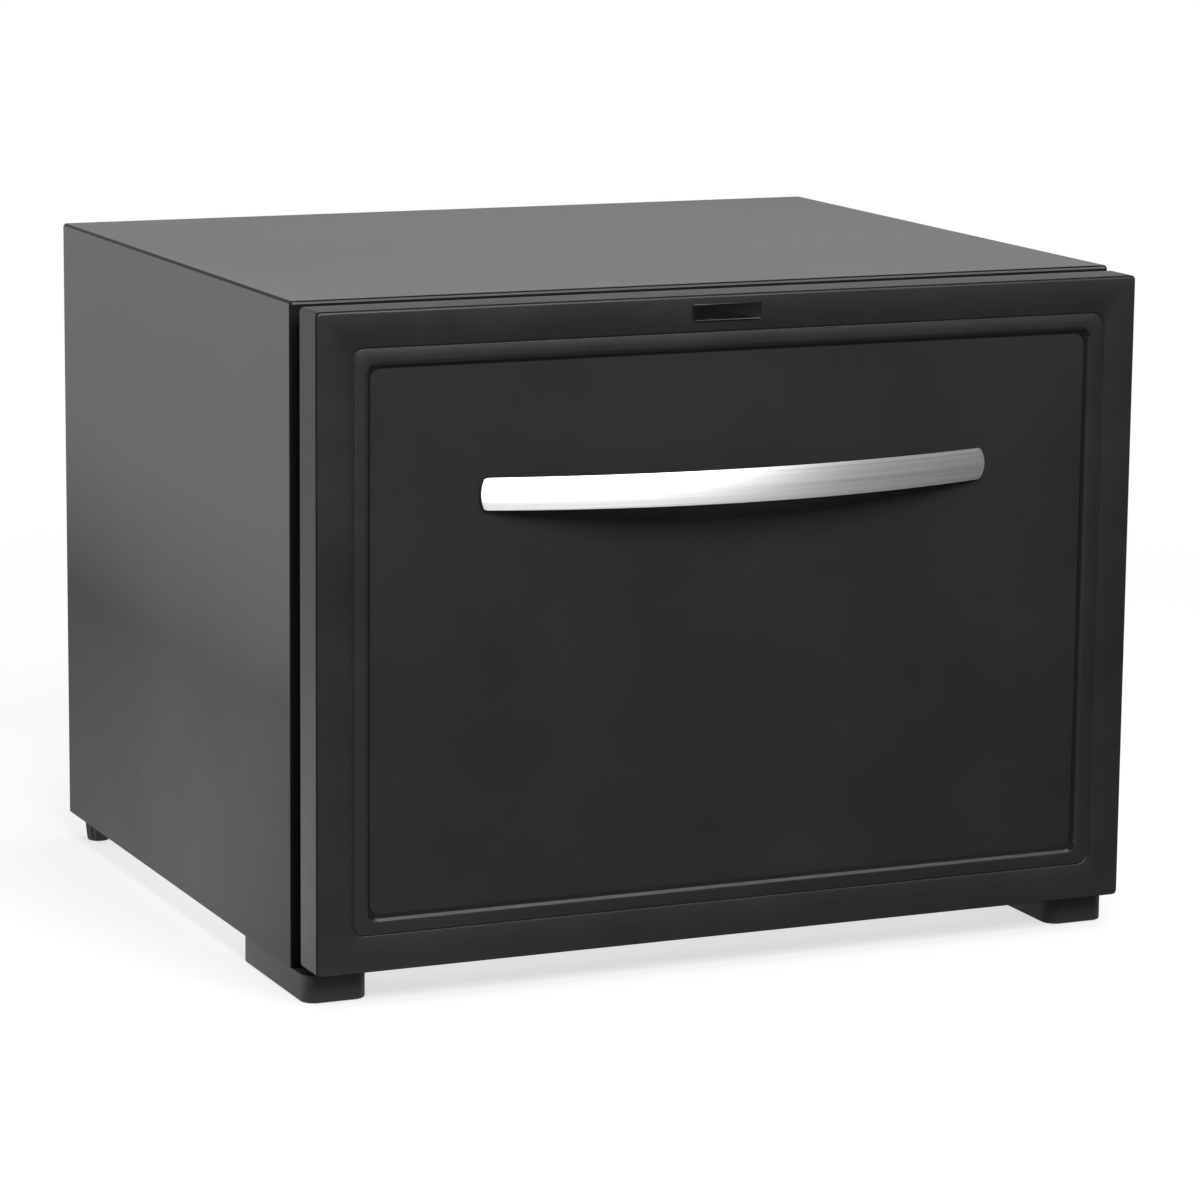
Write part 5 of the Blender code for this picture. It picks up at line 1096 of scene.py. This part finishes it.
def makeVessel(end, z, radius, dome):
    shape = [(radius * (1 - fall), dome * rise) for rise, fall in quarter(10)]
    bead = [(0, 0.001), (0.0006, 0.0016), (0.0006, 0.0026), (0, 0.0032)]
    shape += [(radius + proud, dome + level) for proud, level in bead]
    shape += [(reach, 2 * end - level) for reach, level in reversed(shape)]
    dress(lathe("absorberVessel", shape, (-end, bay, z), (1, 0, 0), 56, 45), tubePaint, "absorber_vessel")


def makeCondenser(middle, length, tilt, radius, fins, pitch, finSize, fin):
    along, middle = Vector((math.cos(tilt), 0, math.sin(tilt))), Vector(middle)
    shape = [(0, 0), (radius - 0.0008, 0), (radius, 0.0008)]
    shape += [(reach, length - level) for reach, level in reversed(shape)]
    pipe = lathe("condenserTube", shape, middle - along * length / 2, along, 40)
    dress(pipe, castAluminium, "condenser")
    item = slab("condenserFin", roundedLoop(*finSize, 0.004, 4), -fin / 2, fin / 2, "X")
    shape = [(0.0002, 0), (0.0012, 0), (0.0006, 0.0022), (0.0002, 0.0022), (0.0002, 0)]
    shape = [(radius + proud, level) for proud, level in shape]
    item = combine(item, lathe("finCollar", shape, (0, 0, 0), (1, 0, 0), 24))
    item.data.transform(Matrix.Rotation(-tilt, 4, "Y"))
    inRow("condenserFins", item, fins, middle - along * pitch * (fins - 1) / 2, along * pitch)


def makeBracket(name, node, x, z, radius, vertical):
    back, half, tall = 0.154, 0.0115, 0.01
    reach = radius + 0.8 * mm
    wide, long, foot = (half, tall, 0.006) if vertical else (tall, half, 0.005)
    angles = [math.asin(wide / reach) * step / 6 for step in range(-6, 7)]
    arc = [(reach * math.sin(angle), bay - reach * math.cos(angle)) for angle in angles]
    line = [(-wide + foot, back), (-wide, back)] + arc + [(wide, back), (wide - foot, back)]
    bm = bmesh.new()
    if vertical:
        skin(bm, [[(x + u, v, z + level) for u, v in line] for level in (-long, long)])
    else:
        skin(bm, [[(x + level, v, z + u) for u, v in line] for level in (-long, long)])
    piece = softenEdges(thicken(meshPiece(name, bm), 0.8 * mm, 0.0), 0.2 * mm, 2, 60)
    dress(piece, zincSheet, node)


def coilPath():
    left, right, low, pitch = -0.115, 0.125, 0.1125, 0.028
    path = [(left, bay, 0.0888)]
    for run in range(6):
        ends = (left, right) if run % 2 == 0 else (right, left)
        path += [(x, bay, low + pitch * run) for x in ends]
    return path + [(left, bay, 0.274)]


liquidPath = [(0.1253, bay, 0.0625), (0.168, bay, 0.0625), (0.168, bay, 0.0722)]
riserPath = [(0.185, bay, 0.2728), (0.185, bay, 0.37024), (0.15043, bay, 0.37024)]
evaporatorPath = [(-0.03, 0.1143, 0.31), (-0.03, 0.1713, 0.31), (-0.225, 0.1713, 0.31),
                  (-0.225, 0.1713, 0.35476), (-0.225, bay, 0.35476), (-0.20543, bay, 0.35476)]
exchangerPath = [(0.03, 0.1143, 0.31), (0.03, 0.2109, 0.31), (-0.115, 0.2109, 0.31),
                 (-0.115, bay, 0.2923), (-0.115, bay, 0.2743)]
leadPath = [(-0.1497, 0.1573, 0.1025), (0.185, 0.1573, 0.1025), (0.185, 0.1573, 0.0419),
            (0.185, bay, 0.0419), (0.185, bay, 0.0539)]
tubes = {  # node, radius, bend, path, finish, sides
    "absorberCoil": ("absorber_coil", 0.0075, 0.01372, coilPath(), tubePaint, 28),
    "liquidTube": ("liquid_tube", 0.004, 0.007, liquidPath, tubePaint, 20),
    "riserTube": ("riser_tube", 0.005, 0.014, riserPath, tubePaint, 24),
    "evaporatorTube": ("evaporator_tube", 0.006, 0.0112, evaporatorPath, tubePaint, 24),
    "gasExchanger": ("gas_exchanger", 0.009, 0.0112, exchangerPath, tubePaint, 28),
    "heaterLead": ("heater_lead", 0.0025, 0.007, leadPath, blackPlastic, 16),
}
welds = {  # place, axis, radius
    "coilWeld": ((-0.115, bay, 0.0892), (0, 0, 1), 0.0075),
    "exchangerWeld": ((-0.115, bay, 0.2742), (0, 0, 1), 0.008),
    "boilerWeld": ((0.185, bay, 0.2729), (0, 0, 1), 0.0052),
    "riserWeld": ((0.1502, bay, 0.37024), (1, 0, 0), 0.0064),
    "condensateWeld": ((-0.2052, bay, 0.35476), (1, 0, 0), 0.0064),
    "liquidWeld": ((0.1252, bay, 0.0625), (1, 0, 0), 0.0042),
}
weldShape = [(-0.0004, -0.0012), (0.0005, -0.001), (0.001, 0.0), (0.0005, 0.001), (-0.0004, 0.0012)]

makeJacket(**jacket)
makeVessel(**vessel)
for name, (node, radius, bend, path, finish, around) in tubes.items():
    dress(tube(name, path, radius, bend, finish, around), finish, node)
makeCondenser(**condenser)
makeBracket("boilerBracket", "boiler_bracket", jacket["x"], 0.1725, jacket["radius"], True)
makeBracket("vesselBracket", "vessel_bracket", 0.0, vessel["z"], vessel["radius"], False)
for name, (place, axis, radius) in welds.items():
    shape = [(radius + proud, level) for proud, level in weldShape + weldShape[:1]]
    dress(lathe(name, shape, place, axis, 60, 60, 0.25 * mm, 15), tubePaint)
print("cooling unit made")


# Control box and inlet

control = dict(
    x=(-0.262, -0.15), z=(0.0475, 0.1475), y=(0.1536, 0.1996), cover=(0.1999, 0.2019), corner=0.005,
    ribs=5, leadZ=0.1025,
)
inlet = dict(
    middle=(-0.206, 0.0975), size=(0.0275, 0.02), socket=(0.0235, 0.0155), front=0.1848, face=0.2022,
    back=0.2042, floor=0.1902, flange=0.003, blades=((-0.007, -0.0018), (0.0, 0.0022), (0.007, -0.0018)),
    blade=(0.002, 0.004),
)


def inletLoop(size, y, grow=0.0, corner=0.003):
    width, height = size
    return upright(y, width + 2 * grow, height + 2 * grow, corner, 5, inlet["middle"])


def makeControl():
    (left, right), high = control["x"], control["z"][1]
    (front, back), (near, far) = control["y"], control["cover"]
    outline = boxLoop(control, "z")

    def cut(piece, low, high):
        loops = [inletLoop(inlet["size"], y, 0.3 * mm) for y in (low, high)]
        return combine(piece, solidSkin("inletHole", loops), "DIFFERENCE")

    housing = slab("controlHousing", outline, front, back, "Y", 0.8 * mm, 3)
    dress(cut(housing, inlet["front"] - 0.6 * mm, back + 0.002), blackPlastic, "control_box")
    cover = cut(slab("controlCover", outline, near, far, "Y", 0.6 * mm, 3), near - 0.002, far + 0.002)
    for i in range(control["ribs"]):
        rib = roundedLoop(0.06, 0.0018, 0.0008, 4, ((left + right) / 2, high - 0.014 - 0.0045 * i))
        cover = combine(cover, slab("coverRib", rib, far - 0.0005, far + 0.0007, "Y"))
    dress(cover, blackPlastic, "control_cover")
    shape = [(0.0026, -0.001), (0.0058, -0.001), (0.0058, 0.0015), (0.0046, 0.0022), (0.004, 0.0055)]
    shape += [(0.0026, 0.0055), shape[0]]
    place = right, leadPath[0][1] + 0.0022, control["leadZ"]
    dress(lathe("leadGrommet", shape, place, (1, 0, 0)), rubber)


def makeInlet(middle, size, socket, front, face, back, floor, flange, blades, blade):
    rows = [inletLoop(size, front, -0.0006), inletLoop(size, front + 0.0006), inletLoop(size, face)]
    rows += [inletLoop(size, y, flange, 0.004) for y in (face, back - 0.0006)]
    rows += [inletLoop(size, back, flange - 0.0006, 0.004), inletLoop(socket, back, 0.0008)]
    rows += [inletLoop(socket, back - 0.0008), inletLoop(socket, floor)]
    dress(solidSkin("powerInlet", rows, sharpAngle=35), blackPlastic, "power_inlet")
    made = []
    for u, v in blades:
        outline = roundedLoop(*blade, 0.0004, 3, (middle[0] + u, middle[1] + v))
        made.append(slab("blade", outline, floor - 0.0005, back - 0.002, "Y", 0.3 * mm))
    first = combine(combine(made[0], made[1]), made[2])
    first.name = "inletBlades"
    dress(first, runnerSteel)


makeControl()
makeInlet(**inlet)
print("control box made")


# Feet

frontFoot = dict(width=0.041, frontY=-0.2095, backY=-0.0955, x=0.2535, corner=0.009)
rearFoot = dict(x=0.2595, y=0.236, tip=0.0078, radius=0.0095, flutes=12, depth=0.0009, top=0.0172)
stud = dict(radius=0.003, high=0.0352, pitch=0.001, depth=0.0004, steps=8, around=24)


def makeFrontFoot(side, sign, width, frontY, backY, x, corner):
    # outline set in by and height, in millimetres
    shape = [(2.2, 0.0), (2.0, 0.3), (0.7, 0.3), (0.35, 0.4), (0.1, 0.7), (0.0, 1.1)]
    rows = []
    for inset, level in shape + [(0.0, 16.5), (0.1, 16.9), (0.4, 17.2)]:
        inset *= mm
        size = width - 2 * inset, backY - frontY - 2 * inset
        loop = roundedLoop(*size, max(corner - inset, 0.8 * mm), 8, (sign * x, (backY + frontY) / 2))
        rows.append([(u, v, level * mm) for u, v in loop])
    piece = solidSkin("frontFoot" + side.title(), rows, sharpAngle=40)
    dress(piece, blackPlastic, "front_foot_" + side)


def threadedRod(x, y, low, high, radius, pitch, depth, steps, around):
    rows = []
    for i in range(int((high - low) / pitch * steps) + 1):
        row = []
        for k in range(around):
            phase = (i / steps - k / around) % 1
            reach, angle = radius - depth * abs(2 * phase - 1), math.tau * k / around
            row.append((x + reach * math.cos(angle), y + reach * math.sin(angle), low + i * pitch / steps))
        rows.append(row)
    return solidSkin("footStud", rows, sharpAngle=60)


def makeRearFoot(side, sign, x, y, tip, radius, flutes, depth, top):
    x *= sign
    shape = [(tip - 0.0014, 0, 0), (tip - 0.0004, 0.0004, 0), (tip, 0.0014, 0), (tip + 0.0002, 0.0022, 0.6)]
    shape += [(tip + 0.0004, 0.003, 1), (radius, top - 0.002, 1), (radius, top - 0.0008, 1)]
    rows = []
    for reach, level, fluted in shape + [(radius - 0.0008, top, 0.6)]:
        ring = ringPoints(reach, 12 * flutes, depth * fluted, flutes)
        rows.append([(x + u, y + v, level) for u, v in ring])
    foot = solidSkin("rearFoot" + side.title(), rows, sharpAngle=50)
    foot = combine(foot, threadedRod(x, y, top - mm, **stud))
    dress(foot, blackPlastic, "rear_foot_" + side, body="rear_foot_" + side)
    nut = "foot_nut_" + side
    dress(refined("footNut" + side.title(), nut, 0.5 * mm), runnerSteel, nut)


for side, sign in sides:
    makeFrontFoot(side, sign, **frontFoot)
for side, sign in sides:
    makeRearFoot(side, sign, **rearFoot)
dress(refined("frontSill", "front_sill", 0.6 * mm), charcoalPaint, "front_sill")
dress(refined("baseTray", "base_tray", 0.2 * mm, 1), zincSheet, "base_tray")
print("feet made")


# Camera and light

cameraSettings = dict(
    place=(-1.2227, -2.778, 0.7711), forward=(0.3982, 0.8979, -0.1877), right=(0.9149, -0.4037, 0.0099),
    lens=141.76, sensor=36.0,
)
lightSettings = {
    "backdrop": 1.0,  # the white behind the object, as it shows in gloss
    "studioFront": 0.04,  # the dark studio in front, as it shows in gloss
    "studioFrom": -0.35,  # where the one turns into the other
    "studioTo": 0.45,
    "lowFrom": 0.24,  # the backdrop is white up to here
    "lowTo": 0.46,
    "floorGloss": 1.55,  # the pale floor beside the object, as it shows in gloss
    "floorGlossBack": 0.72,  # and further back
    "floorBackFrom": 0.15,
    "floorBackTo": 0.8,
    "floorShade": 0.66,  # its share straight behind the object
    "floorShadeWay": (-1.0, -0.33, 0.0),
    "floorShadeFrom": 0.12,
    "floorShadeTo": 0.36,
    "floorGlossFront": 0.04,  # the floor in front, as it shows in gloss, at the right
    "floorGlossLeft": 0.36,  # and at the left
    "floorLeftFrom": -0.35,
    "floorLeftTo": 0.45,
    "floorGlossFrom": -0.45,
    "floorGlossTo": 0.1,
    "ambient": 0.3,
    "floorColour": 0.36,
    "floorGlow": 0.66,
    "floorWhiteFrom": 0.75,  # distance from the object where the floor turns plain white
    "floorWhiteTo": 1.5,
}
softboxes = dict(
    keySoftbox={"place": (0.0, -2.2, 2.0), "target": (-0.1, -0.2, 0.25), "size": (2.2, 1.3), "power": 70},
    keySheen={"place": (-0.3, -2.2, 2.0), "target": (-0.1, -0.2, 0.25), "size": (3.4, 1.3), "power": 66},
    rightSheen={"place": (2.1, -1.5, 1.1), "target": (0.2, -0.25, 0.25), "size": (1.6, 1.4), "power": 4},
    topSoftbox={"place": (0.1, 0.1, 2.3), "target": (0.05, 0.0, 0.4), "size": (1.8, 1.8), "power": 28},
    leftSoftbox={"place": (-2.3, 0.45, 0.5), "target": (-0.27, 0.0, 0.2), "size": (1.1, 1.0), "power": 20},
)


def makeCamera(place, forward, right, lens, sensor):
    camera = bpy.data.cameras.new("photoCamera")
    camera.lens = lens
    camera.sensor_width = sensor
    camera.clip_end = 100
    forward = Vector(forward).normalized()
    right = Vector(right)
    right = (right - forward * right.dot(forward)).normalized()
    obj = linked("photoCamera", camera)
    turn = Matrix((right, right.cross(forward), -forward)).transposed().to_4x4()
    obj.matrix_world = Matrix.Translation(place) @ turn
    bpy.context.scene.camera = obj


def areaLight(name, place, target, size, power):
    light = bpy.data.lights.new(name, "AREA")
    light.shape = "RECTANGLE"
    light.size, light.size_y = size
    light.energy = power
    obj = linked(name, light)
    obj.location = place
    obj.rotation_euler = (Vector(target) - Vector(place)).to_track_quat("-Z", "Y").to_euler()
    obj.visible_diffuse = "Sheen" not in name  # the sheen shows in gloss alone


def ray(kind):
    return addNode("ShaderNodeLightPath", out=f"Is {kind} Ray")


def mixShader(factor, one, other):
    return addNode("ShaderNodeMixShader", {0: factor, 1: one, 2: other})


def makeWorld():
    values = lightSettings
    world = bpy.data.worlds.new("studio")
    world.use_nodes = True
    workOn(world.node_tree).nodes.clear()
    seen = maths("MAXIMUM", ray("Glossy"), ray("Transmission"))
    way = addNode("ShaderNodeTexCoord", out="Generated")
    behind = rampUp(part(way, "Y"), values["studioFrom"], values["studioTo"])
    low = maths("SUBTRACT", 1.0, rampUp(part(way, "Z"), values["lowFrom"], values["lowTo"]))
    gloss = remap(maths("MULTIPLY", behind, low), values["studioFront"], values["backdrop"])
    ambient, room, white = (
        addNode("ShaderNodeBackground", {"Strength": strength, "Color": (1, 1, 1, 1)})
        for strength in (values["ambient"], gloss, 1.0)
    )
    mixed = mixShader(ray("Camera"), mixShader(seen, ambient, room), white)
    addNode("ShaderNodeOutputWorld", {"Surface": mixed})
    bpy.context.scene.world = world


def makeFloor():
    values = lightSettings
    material = newMaterial("paleFloor")
    tree.nodes.clear()
    where = addNode("ShaderNodeTexCoord", out="Object")
    across, depth = part(where, "X"), part(where, "Y")

    def ramp(value, name):
        return rampUp(value, values[name + "From"], values[name + "To"])

    front = remap(ramp(across, "floorLeft"), values["floorGlossLeft"], values["floorGlossFront"])
    behind = remap(ramp(depth, "floorBack"), values["floorGloss"], values["floorGlossBack"])
    gloss = mixValue(ramp(depth, "floorGloss"), front, behind)
    aside = vectorMaths("DOT_PRODUCT", where, values["floorShadeWay"], "Value")
    gloss = maths("MULTIPLY", gloss, remap(ramp(aside, "floorShade"), values["floorShade"], 1.0))
    pale = addNode("ShaderNodeBsdfDiffuse", {"Color": (*[values["floorColour"]] * 3, 1)})
    glows = [maths("MULTIPLY", ray("Camera"), values["floorGlow"]), gloss, 1.0]
    glow, backdrop, white = (addNode("ShaderNodeEmission", {"Strength": strength}) for strength in glows)
    near = mixShader(ray("Glossy"), addNode("ShaderNodeAddShader", {0: pale, 1: glow}), backdrop)
    away = vectorMaths("LENGTH", where, out="Value")
    far = maths("MULTIPLY", ramp(away, "floorWhite"), ray("Camera"))
    addNode("ShaderNodeOutputMaterial", {"Surface": mixShader(far, near, white)})
    bm = bmesh.new()
    bmesh.ops.create_circle(bm, cap_ends=True, segments=96, radius=8.0)
    mesh = bpy.data.meshes.new("paleFloor")
    bm.to_mesh(mesh)
    bm.free()
    mesh.materials.append(material)
    linked("paleFloor", mesh)


makeCamera(**cameraSettings)
makeWorld()
makeFloor()
for name, values in softboxes.items():
    areaLight(name, **values)
bpy.context.scene.view_settings.view_transform = "Standard"
print("camera and lights")
for item in (ballItem, *items.values()):
    bpy.data.objects.remove(item)
